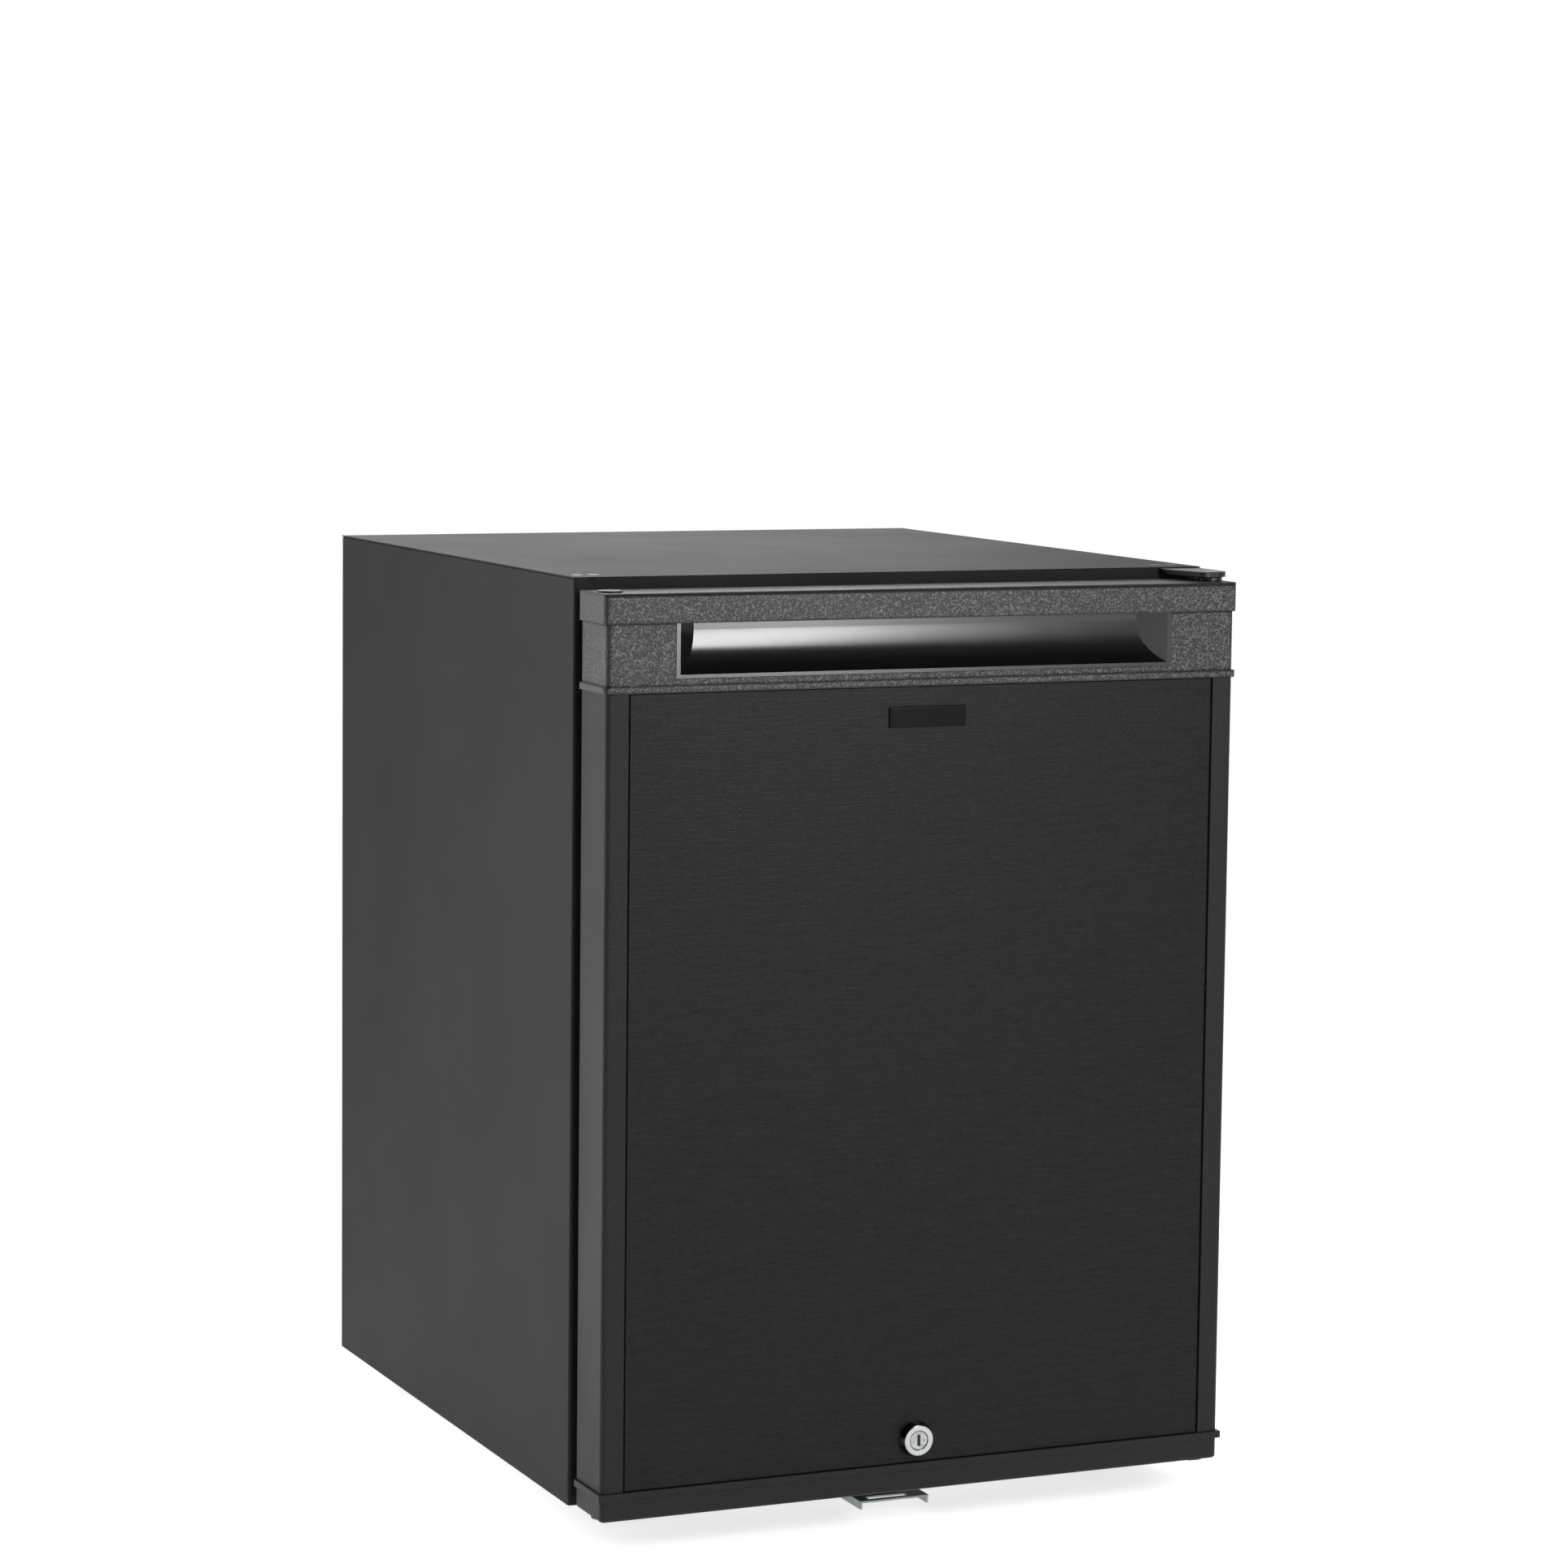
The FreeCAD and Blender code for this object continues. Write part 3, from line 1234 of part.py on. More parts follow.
def make_panel():
    """Flat panel: edges tucked behind the trims, and a field standing forward inside a fine groove."""
    tuck = f"({TRIM_X} + dims.panel_tuck)"
    field = f"({TRIM_X} - dims.field_groove)"
    body = block("door_panel", both_sides(tuck), (Y_PANEL, Y_PANEL_BACK),
                 (f"{Z_SILL} - dims.panel_tuck", Z_RAIL))
    add_box(body, "panel_field", both_sides(field), (Y_FIELD, Y_PANEL),
            (f"{Z_SILL} + dims.field_groove / 2", f"{Z_RAIL} - dims.field_groove / 2"))
    bore(body, "panel_lock_hole", "+y", LOCK_X, Y_FIELD, LOCK_Z, "dims.lock_barrel_radius",
         f"{Y_PANEL_BACK} - {Y_FIELD}")
    return node(body)


def cup_profile(name, grow):
    """Side profile of the handle cup, run across its width: upright wall above, round scoop below."""
    depth = f"(dims.cup_depth + {grow})"
    curve = "(dims.cup_height - dims.cup_straight)"
    scoop = f"((dims.cup_depth ^ 2 + {curve} ^ 2) / (2 * dims.cup_depth))"
    axis_y = f"({Y_DOOR} + dims.cup_depth - {scoop})"
    axis_z = f"({Z_CAP} - dims.cup_straight)"
    reach = f"({scoop} + {grow})"
    half = DOOR_X
    lower = common(f"{name}_scoop",
                   box(f"{name}_scoop_box", both_sides(half), (Y_DOOR, f"{Y_DOOR} + {depth}"),
                       (f"{axis_z} - {reach}", axis_z)),
                   rod(f"{name}_scoop_round", "+x", f"-{half}", axis_y, axis_z, reach, f"2 * {half}"))
    upper = box(f"{name}_wall", both_sides(half), (Y_DOOR, f"{Y_DOOR} + {depth}"), (axis_z, Z_CAP))
    behind_cap = box(f"{name}_behind_cap", both_sides(half),
                     (f"{Y_DOOR} - dims.cap_proud + dims.cap_front_wall", f"{Y_DOOR} + {depth}"),
                     (Z_CAP, Z_CAP_ROOF))
    slope = "(dims.cup_run / dims.cup_depth)"
    front_half = f"(dims.cup_half + {grow} * sqrt(1 + {slope} ^ 2))"
    back_half = f"({front_half} - {depth} * {slope})"
    back = f"({Y_DOOR} + {depth})"
    plan = [(f"-{front_half}", Y_DOOR), (front_half, Y_DOOR), (back_half, back), (f"-{back_half}", back)]
    wedge = extrusion(f"{name}_wedge", "XY", [plan], f"{axis_z} - {reach}", Z_CAP_ROOF)
    return common(name, fuse(f"{name}_run", lower, upper, behind_cap), wedge)


def make_handle():
    """Handle rail with its rib, the scooped cup set into it, and the cap over both."""
    wall = f"({Y_DOOR} + dims.shell_wall)"
    rail = extrusion("rail_blank", "XY", [wrap_plan(DOOR_X, Y_DOOR, wall)], Z_RAIL, Z_CAP)
    pad(rail, "rail_rib", "XY", [wrap_plan(LIP_X, f"{Y_DOOR} - dims.rib_proud", wall)],
        Z_RAIL, f"{Z_RAIL} + dims.rib_height")
    round_edges(rail, "rail_corner", "dims.edge_round",
                lambda edge: runs_along(edge, "z") and abs(edge.CenterOfMass.x) > number(DOOR_X) - TOUCH
                and edge.CenterOfMass.y < number(Y_DOOR) + TOUCH)
    seat = cup_profile("cup_outside", "dims.cup_wall")
    node(cut("handle_rail", rail, seat))
    node(cut("handle_cup", seat, cup_profile("cup_inside", "0")))
    front = f"({Y_DOOR} - dims.cap_proud)"
    cap = block("top_cap", both_sides(LIP_X), (front, Y_DOOR_BACK), (Z_CAP, Z_DOOR_TOP))
    round_edges(cap, "cap_corner", "dims.edge_round",
                lambda edge: lies_at(edge, y=front)
                and (runs_along(edge, "z") or lies_in(edge, "z", Z_DOOR_TOP)))
    cut_box(cap, "cap_hollow", both_sides(f"({DOOR_X} - dims.shell_wall)"),
            (f"{front} + dims.cap_front_wall", Y_DOOR_LINER), (Z_CAP, Z_CAP_ROOF))
    for hand, sign in (("left", -1), ("right", 1)):
        bore(cap, f"cap_hole_{hand}", "+z", side(sign, PIN_X), PIN_Y, Z_CAP_ROOF,
             "dims.pin_radius + dims.bush_wall", "dims.shell_wall")
    node(cap)
    return seat


def cam_slot():
    """Room in the door's underside for the cam's swing, as x and y ranges."""
    drop = f"({LOCK_Z} - {Z_SILL_FLOOR})"
    swing = f"sqrt(dims.cam_length ^ 2 - {drop} ^ 2)"
    xs = (f"({LOCK_X} - {swing} - dims.cam_slot_clear)",
          f"({LOCK_X} + dims.cam_width / 2 + dims.cam_slot_clear)")
    ys = (f"({Y_CAM} - dims.cam_slot_clear)", f"({Y_CAM_BACK} + dims.cam_slot_clear)")
    return xs, ys


def make_bottom_cap():
    """Tray under the door with a ridge along its top and a slot for the lock's cam."""
    ridge = f"({Z_SILL} - dims.rib_height)"
    cap = block("bottom_cap", both_sides(DOOR_X), (Y_DOOR, Y_DOOR_BACK), (Z_DOOR_LOW, Z_SILL))
    round_edges(cap, "sill_corner", "dims.edge_round",
                lambda edge: runs_along(edge, "z") and lies_at(edge, y=Y_DOOR))
    round_edges(cap, "sill_edge", "dims.sill_round",
                lambda edge: lies_in(edge, "z", Z_DOOR_LOW) and lies_at(edge, y=Y_DOOR))
    ridge_front = f"{Y_DOOR} - dims.rib_proud"
    add_box(cap, "sill_ridge", both_sides(LIP_X), (ridge_front, Y_DOOR_BACK), (ridge, Z_SILL))
    cut_box(cap, "sill_hollow", both_sides(f"({DOOR_X} - dims.shell_wall)"),
            (f"{Y_DOOR} + dims.front_wall", Y_DOOR_LINER), (Z_SILL_FLOOR, Z_SILL))
    cut_box(cap, "sill_cam_slot", *cam_slot(), (Z_DOOR_LOW, Z_SILL_FLOOR))
    for hand, sign in (("left", -1), ("right", 1)):
        bore(cap, f"sill_hole_{hand}", "+z", side(sign, PIN_X), PIN_Y, Z_DOOR_LOW,
             "dims.pin_radius + dims.bush_wall", "dims.shell_wall")
    return node(cap)


def lock_box_block(name, inset):
    """Block of the lock box, drawn in by a wall thickness."""
    side_room = f"(dims.lock_box_side - {inset})"
    xs = (f"({LOCK_X} - dims.cam_length - dims.cam_room + {inset})", f"({LOCK_X} + {side_room})")
    ys = (f"({Y_PANEL_BACK} + {inset})", f"({Y_CAM_BACK} + dims.cam_room - {inset})")
    return box(name, xs, ys, (Z_SILL_FLOOR, f"{LOCK_Z} + {side_room}"))


def make_lock_box():
    """Thin box foamed into the door that keeps the foam off the cam, open at its foot."""
    barrel = rod("lock_box_port", "+y", LOCK_X, Y_PANEL_BACK, LOCK_Z, "dims.lock_barrel_radius",
                 "dims.lock_box_wall")
    shell = cut("lock_box", lock_box_block("lock_box_outside", "0"),
                lock_box_block("lock_box_inside", "dims.lock_box_wall"), barrel)
    return node(shell)


def dyke(name, sign, shrink):
    """Upright ridge of the door liner that carries the racks, drawn in by a thickness."""
    inner = f"({DYKE_X} + {shrink})"
    outer = f"({DYKE_X} + dims.dyke_width - {shrink})"
    crest = f"({Y_DOOR_BACK} + dims.dyke_depth - {shrink})"
    plan = [
        (inner, Y_DOOR_LINER),
        (outer, Y_DOOR_LINER),
        (f"{outer} - dims.dyke_draft", crest),
        (inner, crest),
    ]
    loop = [(side(sign, x), y) for x, y in plan]
    body = extrusion(name, "XY", [loop], f"{Z_SILL} + dims.dyke_end + {shrink}",
                     f"{Z_CAP} - dims.dyke_end - {shrink}")
    return body


def make_door_inside(cup_seat):
    """Foam, inner liner with its dykes, gasket and racks."""
    hands = (("left", -1), ("right", 1))
    cores = [dyke(f"dyke_core_{hand}", sign, "dims.liner_gauge") for hand, sign in hands]
    ridges = []
    for hand, sign in hands:
        ridge = dyke(f"dyke_{hand}", sign, "0")
        crest = f"({Y_DOOR_BACK} + dims.dyke_depth)"
        round_edges(ridge, f"dyke_{hand}_round", "dims.dyke_round", lambda edge: lies_in(edge, "y", crest))
        ridges.append(ridge)
    liner_sheet = box("door_liner_sheet", both_sides(LINER_X), (Y_DOOR_LINER, Y_DOOR_BACK), (Z_SILL, Z_CAP))
    node(cut("door_liner", fuse("door_liner_blank", liner_sheet, *ridges), *cores))
    slab = box("door_foam_slab", both_sides(f"({DOOR_X} - dims.shell_wall)"), (Y_PANEL_BACK, Y_DOOR_LINER),
               (Z_SILL_FLOOR, Z_CAP_ROOF))
    sockets = []
    depth = "(dims.pin_engage + dims.rest_clear)"
    for hand, sign in hands:
        for end, start in (("low", Z_DOOR_LOW), ("high", f"{Z_DOOR_TOP} - {depth}")):
            sockets.append(rod(f"foam_socket_{end}_{hand}", "+z", side(sign, PIN_X), PIN_Y, start,
                               "dims.pin_radius + dims.bush_wall", depth))
    lock_room = lock_box_block("foam_lock_room", "0")
    filled = fuse("door_foam_blank", slab, *cores)
    node(cut("door_foam", filled, cup_seat, lock_room, *sockets))
    make_gasket()
    make_rack("door_rack_lower", f"({Z_BASE} + dims.rack_low)")
    make_rack("door_rack_middle", f"({CAV_HIGH} - dims.rack_mid)")
    make_rack("door_rack_upper", f"({CAV_HIGH} - dims.rack_high)")


def gasket_loop(inset):
    """Rectangle in front of the cabinet, drawn in from the seal's outline; its sides follow the door."""
    half = f"({GASKET_X} - {inset})"
    low = f"({Z_BASE} + dims.gasket_inset + {inset})"
    high = f"({Z_TOP} - dims.gasket_inset - {inset})"
    return [(f"-{half}", low), (half, low), (half, high), (f"-{half}", high)]


def make_gasket():
    """Seal all round the door: a base strip, a thinner bellows and the magnet head, just off the frame."""
    face = f"({Y_CAB} - dims.seal_clear)"
    neck = f"({Y_DOOR_BACK} + dims.gasket_base)"
    head = f"({neck} + dims.gasket_neck)"
    stages = (
        ("base", Y_DOOR_BACK, neck, "0"),
        ("neck", neck, head, "dims.gasket_step"),
        ("head", head, face, "0"),
    )
    body = doc.addObject("PartDesign::Body", "door_gasket")
    for label, start, end, step in stages:
        loops = [gasket_loop(step),
                 gasket_loop(f"(dims.gasket_width - {step})")]
        pad(body, f"gasket_{label}", "XZ", loops, start, end)
    round_edges(body, "gasket_edge", "dims.gasket_round", lambda edge: lies_in(edge, "y", face))
    return node(body)


def make_rack(name, low):
    """Door rack: a round-cornered trough between the dykes with a window in its front wall."""
    wall = "dims.rack_wall"
    high = f"({low} + dims.rack_height)"
    front = f"({Y_DOOR_BACK} + dims.rack_depth)"
    blank = block(f"{name}_blank", both_sides(DYKE_X), (Y_DOOR_BACK, front), (low, high))
    round_edges(blank, f"{name}_corner", "dims.rack_round",
                lambda edge: runs_along(edge, "z") and lies_at(edge, y=front))
    hollow = block(f"{name}_hollow", both_sides(f"({DYKE_X} - {wall})"),
                   (f"{Y_DOOR_BACK} + {wall}", f"{front} - {wall}"), (f"{low} + {wall}", high))
    round_edges(hollow, f"{name}_inside", f"dims.rack_round - {wall}",
                lambda edge: runs_along(edge, "z") and lies_at(edge, y=f"{front} - {wall}"))
    window = box(f"{name}_window", both_sides(f"({DYKE_X} - dims.rack_window_margin)"),
                 (f"{front} - {wall}", front),
                 (f"{high} - dims.rack_rim - dims.rack_window", f"{high} - dims.rack_rim"))
    return node(cut(name, blank, hollow, window))


# Bushes, plugs and lock
def make_bushes():
    """Hinge bushes on the right, and plugs in the spare holes on the left."""
    bore_radius = "dims.pin_radius + dims.run_clear"
    outside = "dims.pin_radius + dims.bush_wall"
    length = "(dims.pin_engage + dims.rest_clear)"
    brim = "dims.pin_radius + dims.bush_flange"
    rises = {
        "top": (f"({Z_PLATE} - {Z_DOOR_TOP} - dims.rest_clear)", "-z", Z_DOOR_TOP),
        "bottom": ("(dims.door_rise - dims.rest_clear)", "+z", Z_DOOR_LOW),
    }
    plugs = []
    for end, (rise, toward, level) in rises.items():
        bush = [
            (bore_radius, f"-{rise}"),
            (brim, f"-{rise}"),
            (brim, "0"),
            (outside, "0"),
            (outside, length),
            (bore_radius, length),
        ]
        node(turned(f"hinge_bush_{end}", bush, toward, PIN_X, PIN_Y, level))
        cap_rise = "dims.plug_rise" if end == "top" else rise
        plug = [
            ("0", f"-{cap_rise}"),
            (brim, f"-{cap_rise}"),
            (brim, "0"),
            (outside, "0"),
            (outside, length),
            ("0", length),
        ]
        plugs.append(turned(f"door_plug_{end}", plug, toward, side(-1, PIN_X), PIN_Y, level))
    node(group("door_hole_plugs", plugs))


def make_lock():
    """Cam lock: collared barrel, nut, key plug, cam and cam screw. Heights run inward from the front."""
    bore_radius = "dims.lock_plug_radius + dims.run_clear"
    face = "-dims.lock_proud"
    barrel = [
        (bore_radius, face),
        ("dims.lock_face_radius", face),
        ("dims.lock_collar_radius", "dims.field_inset - dims.lock_collar"),
        ("dims.lock_collar_radius", "dims.field_inset"),
        ("dims.lock_barrel_radius", "dims.field_inset"),
        ("dims.lock_barrel_radius", "dims.lock_barrel"),
        (bore_radius, "dims.lock_barrel"),
    ]
    body = turned("lock_body", barrel, "+y", LOCK_X, Y_DOOR, LOCK_Z)
    round_edges(body, "lock_face_edge", "dims.edge_break",
                lambda edge: edge.Curve.TypeId == "Part::GeomCircle"
                and abs(edge.Curve.Radius - number("dims.lock_face_radius")) < TOUCH)
    node(body)
    nut_start = f"({Y_PANEL_BACK} + dims.lock_box_wall)"
    corner = "(dims.nut_flats / sqrt(3))"
    hexagon = [
        (f"{LOCK_X} + {corner} * cos({60 * index} deg)", f"{LOCK_Z} + {corner} * sin({60 * index} deg)")
        for index in range(6)
    ]
    nut = extrusion("lock_nut", "XZ", [hexagon], nut_start, f"{nut_start} + dims.nut_height")
    bore(nut, "nut_bore", "+y", LOCK_X, nut_start, LOCK_Z, "dims.lock_barrel_radius", "dims.nut_height")
    node(nut)
    post_end = "dims.lock_barrel + dims.cam_gap + dims.cam_gauge"
    shoulder = "dims.lock_barrel + dims.cam_gap"
    plug = [
        ("0", f"{face} + dims.lock_face_set"),
        ("dims.lock_plug_radius", f"{face} + dims.lock_face_set"),
        ("dims.lock_plug_radius", shoulder),
        ("dims.cam_post_radius", shoulder),
        ("dims.cam_post_radius", post_end),
        ("dims.cam_screw_radius", post_end),
        ("dims.cam_screw_radius", f"{post_end} - dims.cam_screw_length"),
        ("0", f"{post_end} - dims.cam_screw_length"),
    ]
    core = turned("lock_plug", plug, "+y", LOCK_X, Y_DOOR, LOCK_Z)
    cut_box(core, "keyway", ("-dims.keyway_width / 2", "dims.keyway_width / 2"),
            ("-dims.keyway_height / 2", "dims.keyway_height / 2"),
            (face, f"{face} + dims.lock_face_set + dims.keyway_depth"))
    node(core)
    half = "dims.cam_width / 2"
    tip = f"({LOCK_X} - dims.cam_length)"
    butt = f"({LOCK_X} + {half})"
    outline = [(tip, f"{LOCK_Z} - {half}"), (butt, f"{LOCK_Z} - {half}"),
               (butt, f"{LOCK_Z} + {half}"), (tip, f"{LOCK_Z} + {half}")]
    cam = extrusion("lock_cam", "XZ", [outline], Y_CAM, Y_CAM_BACK)
    round_edges(cam, "cam_ends", f"{half} - dims.run_clear", lambda edge: runs_along(edge, "y"))
    bore(cam, "cam_hole", "+y", LOCK_X, Y_CAM, LOCK_Z, "dims.cam_post_radius", "dims.cam_gauge")
    node(cam)
    head = "dims.cam_gauge"
    screw = [
        ("0", "-dims.cam_screw_length"),
        ("dims.cam_screw_radius", "-dims.cam_screw_length"),
        ("dims.cam_screw_radius", "0"),
        ("dims.cam_screw_head", "0"),
        ("dims.cam_screw_head", f"{head} / 2"),
        ("dims.cam_screw_head - dims.screw_crown", head),
        ("0", head),
    ]
    node(turned("cam_screw", screw, "+y", LOCK_X, Y_CAM_BACK, LOCK_Z))


def build():
    """All sub-parts, from the outer shell inward and then the door."""
    make_side_panel("side_panel_left", -1)
    make_side_panel("side_panel_right", 1)
    make_top_panel()
    make_base_pan()
    make_feet()
    make_hinges()
    make_lock_keeper()
    make_front_frame()
    make_liner()
    make_foam()
    make_back_panel()
    for level, height in shelf_levels():
        make_shelf(f"wire_shelf_{level}", height)
    make_evaporator()
    make_drip_tray()
    make_control_box()
    make_cooling_unit()
    make_terminal_box()
    make_trim("side_trim_left", -1)
    make_trim("side_trim_right", 1)
    make_panel()
    cup_seat = make_handle()
    make_bottom_cap()
    make_lock_box()
    make_door_inside(cup_seat)
    make_bushes()
    make_lock()


def write_parts():
    """Check every object and write each sub-part to its file."""
    doc.recompute()
    failed = [item.Label for item in doc.Objects if {"Invalid", "Error"} & set(item.State)]
    if failed:
        raise RuntimeError(f"failed objects: {failed}")
    for label, item in parts.items():
        if item.Shape.isNull() or not item.Shape.isValid() or not item.Shape.Solids:
            raise RuntimeError(f"{label}: no valid solid")
    os.makedirs("parts", exist_ok=True)
    for label, item in parts.items():
        item.Shape.exportStep(f"parts/{label}.step")


build()
write_parts()
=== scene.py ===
"""Looks of a black minibar fridge: finishes of its solids, small fitted pieces, studio and camera.

Lengths are metres in the frame of the solids: front towards -Y, Z up. Sizes in the classes are millimetres.
"""
import logging
import math
from abc import ABC, abstractmethod
from dataclasses import dataclass
from enum import Enum

import bmesh
import bpy
from mathutils import Matrix, Vector


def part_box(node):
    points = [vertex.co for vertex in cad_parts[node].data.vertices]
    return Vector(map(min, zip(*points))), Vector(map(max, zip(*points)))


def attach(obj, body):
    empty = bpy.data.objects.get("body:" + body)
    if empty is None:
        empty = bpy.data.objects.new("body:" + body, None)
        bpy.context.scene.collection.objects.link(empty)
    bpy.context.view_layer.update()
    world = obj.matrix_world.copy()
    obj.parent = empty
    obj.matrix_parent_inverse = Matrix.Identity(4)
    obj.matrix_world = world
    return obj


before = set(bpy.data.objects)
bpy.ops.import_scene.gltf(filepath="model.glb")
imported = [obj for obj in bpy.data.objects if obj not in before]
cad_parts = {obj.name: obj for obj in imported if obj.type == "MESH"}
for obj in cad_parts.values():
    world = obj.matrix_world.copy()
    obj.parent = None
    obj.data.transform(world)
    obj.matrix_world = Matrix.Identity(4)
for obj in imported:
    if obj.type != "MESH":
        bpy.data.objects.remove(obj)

LOG = logging.getLogger("minibar")
MM = 0.001
# Rays by which the shader of an edge looks for its neighbour
EDGE_RAYS = 6
# Cosines between a face and its bent normal at which the painted edge shade starts and is full
EDGE_SHADE_TURNS = (0.995, 0.9)
# Steps of a bevel and of a full ring
BEVEL_STEPS = 3
RING_STEPS = 72
# Bevel and sink of a screw head as shares of its height, and its recess as a share of its radius
HEAD_BEVEL = 0.35
HEAD_SINK = 0.3
HEAD_RECESS = 0.4
# Sides of a hexagon head
HEXAGON = 6
# Directions of the frame
RIGHTWARD = Vector((1.0, 0.0, 0.0))
BACKWARD = Vector((0.0, 1.0, 0.0))
UPWARD = Vector((0.0, 0.0, 1.0))

# Linear red, green, blue and alpha
Colour = tuple[float, float, float, float]
WHITE: Colour = (1.0, 1.0, 1.0, 1.0)
# Sockets for the colour, the roughness and the height of a pattern, each from 0 to 1
Shares = tuple[bpy.types.NodeSocket, bpy.types.NodeSocket, bpy.types.NodeSocket]


class Body(Enum):
    """Bodies that a fitted piece can ride on."""

    CABINET = "cabinet"
    DOOR = "door"


def linear(code: str) -> Colour:
    """Turns an sRGB hex colour into linear red, green, blue and alpha.

    Args:
        code: Colour such as "#2a2a2a".

    Returns:
        Linear channels with an alpha of 1.
    """
    shares = [int(code[start:start + 2], 16) / 255 for start in (1, 3, 5)]
    red, green, blue = [s / 12.92 if s <= 0.04045 else ((s + 0.055) / 1.055) ** 2.4 for s in shares]
    return red, green, blue, 1.0


def per_mm(size: float) -> float:
    """Gives the texture scale whose features are a size in millimetres."""
    return 1.0 / (size * MM)


def add_node(tree: bpy.types.NodeTree, kind: str, settings: dict[str, object] | None = None,
             inputs: dict[str | int, object] | None = None) -> bpy.types.Node:
    """Adds one shader node with its settings, values and links.

    Args:
        tree: Node tree that takes the node.
        kind: Node type, such as "ShaderNodeTexNoise".
        settings: Attributes of the node.
        inputs: Values of its sockets, or the output sockets to link to them.

    Returns:
        The new node.
    """
    node = tree.nodes.new(kind)
    for name, value in (settings or {}).items():
        setattr(node, name, value)
    for socket, value in (inputs or {}).items():
        if isinstance(value, bpy.types.NodeSocket):
            tree.links.new(value, node.inputs[socket])
        else:
            node.inputs[socket].default_value = value
    return node


@dataclass(frozen=True)
class Finish(ABC):
    """A material with two close tones, a roughness that wanders and a relief.

    Attributes:
        name: What the real material is and how its surface was made.
        tone: Main colour.
        other: Colour of its streaks, specks or cells.
        roughness: Lowest and highest roughness.
        relief: Height of the surface pattern in millimetres.
        metallic: 1 for bare metal.
        specular: Strength of the gloss of a non-metal.
        edge: Radius over which a sharp edge catches the light, in millimetres.
        edge_shade: Painted shade colour on the edges, for shadow and dark reflections, or none where they
            look like the rest.
    """

    name: str
    tone: str
    other: str
    roughness: tuple[float, float]
    relief: float
    metallic: float = 0.0
    specular: float = 0.5
    edge: float = 0.5
    edge_shade: str | None = None

    @abstractmethod
    def pattern(self, tree: bpy.types.NodeTree, place: bpy.types.NodeSocket) -> Shares:
        """Draws the pattern of the finish.

        Args:
            tree: Node tree of the material.
            place: Object coordinates.

        Returns:
            Shares for the colour, the roughness and the height, each from 0 to 1.
        """

    def settings(self) -> dict[str, object]:
        """Gives constant values of the shader's further sockets."""
        return {}

    def shade_edges(self, tree: bpy.types.NodeTree, skin: bpy.types.NodeSocket,
               bent: bpy.types.NodeSocket) -> bpy.types.NodeSocket:
        """Paints shade, for shadow and dark reflections, on sharp edges and on rounded ones between level
        and upright faces.

        Args:
            tree: Node tree of the material.
            skin: Colour of the rest.
            bent: Normal that turns near an edge.

        Returns:
            Socket of the colour with its painted edge shade.
        """
        flat = add_node(tree, "ShaderNodeNewGeometry").outputs["Normal"]
        turn = add_node(tree, "ShaderNodeVectorMath", {"operation": "DOT_PRODUCT"}, {0: flat, 1: bent})
        facing = add_node(tree, "ShaderNodeTexCoord").outputs["Normal"]
        size = add_node(tree, "ShaderNodeVectorMath", {"operation": "ABSOLUTE"}, {0: facing})
        along = add_node(tree, "ShaderNodeSeparateXYZ", None, {0: size.outputs["Vector"]})
        level = add_node(tree, "ShaderNodeMath", {"operation": "MAXIMUM"},
                         {0: along.outputs["X"], 1: along.outputs["Y"]})
        square = add_node(tree, "ShaderNodeMath", {"operation": "MAXIMUM"},
                          {0: level.outputs[0], 1: along.outputs["Z"]})
        least = add_node(tree, "ShaderNodeMath", {"operation": "MINIMUM"},
                         {0: turn.outputs["Value"], 1: square.outputs[0]})
        # Share of the painted edge shade, which stands for shadow and dark reflections
        shade_share = add_node(tree, "ShaderNodeMapRange", {"interpolation_type": "SMOOTHSTEP"}, {
            "Value": least.outputs[0], "From Min": EDGE_SHADE_TURNS[0], "From Max": EDGE_SHADE_TURNS[1]})
        return add_node(tree, "ShaderNodeMix", {"data_type": "RGBA"}, {
            "Factor": shade_share.outputs["Result"], "A": skin, "B": linear(self.edge_shade)}).outputs["Result"]

    def material(self) -> bpy.types.Material:
        """Makes the material, or finds it if it was made before.

        Returns:
            The material.
        """
        found = bpy.data.materials.get(self.name)
        if found is not None:
            return found
        made = bpy.data.materials.new(self.name)
        made.use_nodes = True
        tree = made.node_tree
        tree.nodes.clear()
        place = add_node(tree, "ShaderNodeTexCoord").outputs["Object"]
        colour_share, rough_share, height = self.pattern(tree, place)
        skin = add_node(tree, "ShaderNodeMix", {"data_type": "RGBA"}, {
            "Factor": colour_share, "A": linear(self.tone), "B": linear(self.other)}).outputs["Result"]
        rough = add_node(tree, "ShaderNodeMapRange", None,
                         {"Value": rough_share, "To Min": self.roughness[0], "To Max": self.roughness[1]})
        edge = add_node(tree, "ShaderNodeBevel", {"samples": EDGE_RAYS}, {"Radius": self.edge * MM})
        bump = add_node(tree, "ShaderNodeBump", None, {
            "Strength": 1.0,
            "Distance": self.relief * MM,
            "Height": height,
            "Normal": edge.outputs["Normal"],
        })
        # Painted shade on the edges, for shadow and dark reflections, where the finish has an edge shade
        # colour
        if self.edge_shade is not None:
            skin = self.shade_edges(tree, skin, edge.outputs["Normal"])
        shader = add_node(tree, "ShaderNodeBsdfPrincipled", None, {
            "Base Color": skin,
            "Metallic": self.metallic,
            "Roughness": rough.outputs["Result"],
            "Specular IOR Level": self.specular,
            "Normal": bump.outputs["Normal"],
            **self.settings(),
        })
        add_node(tree, "ShaderNodeOutputMaterial", None, {"Surface": shader.outputs["BSDF"]})
        return made


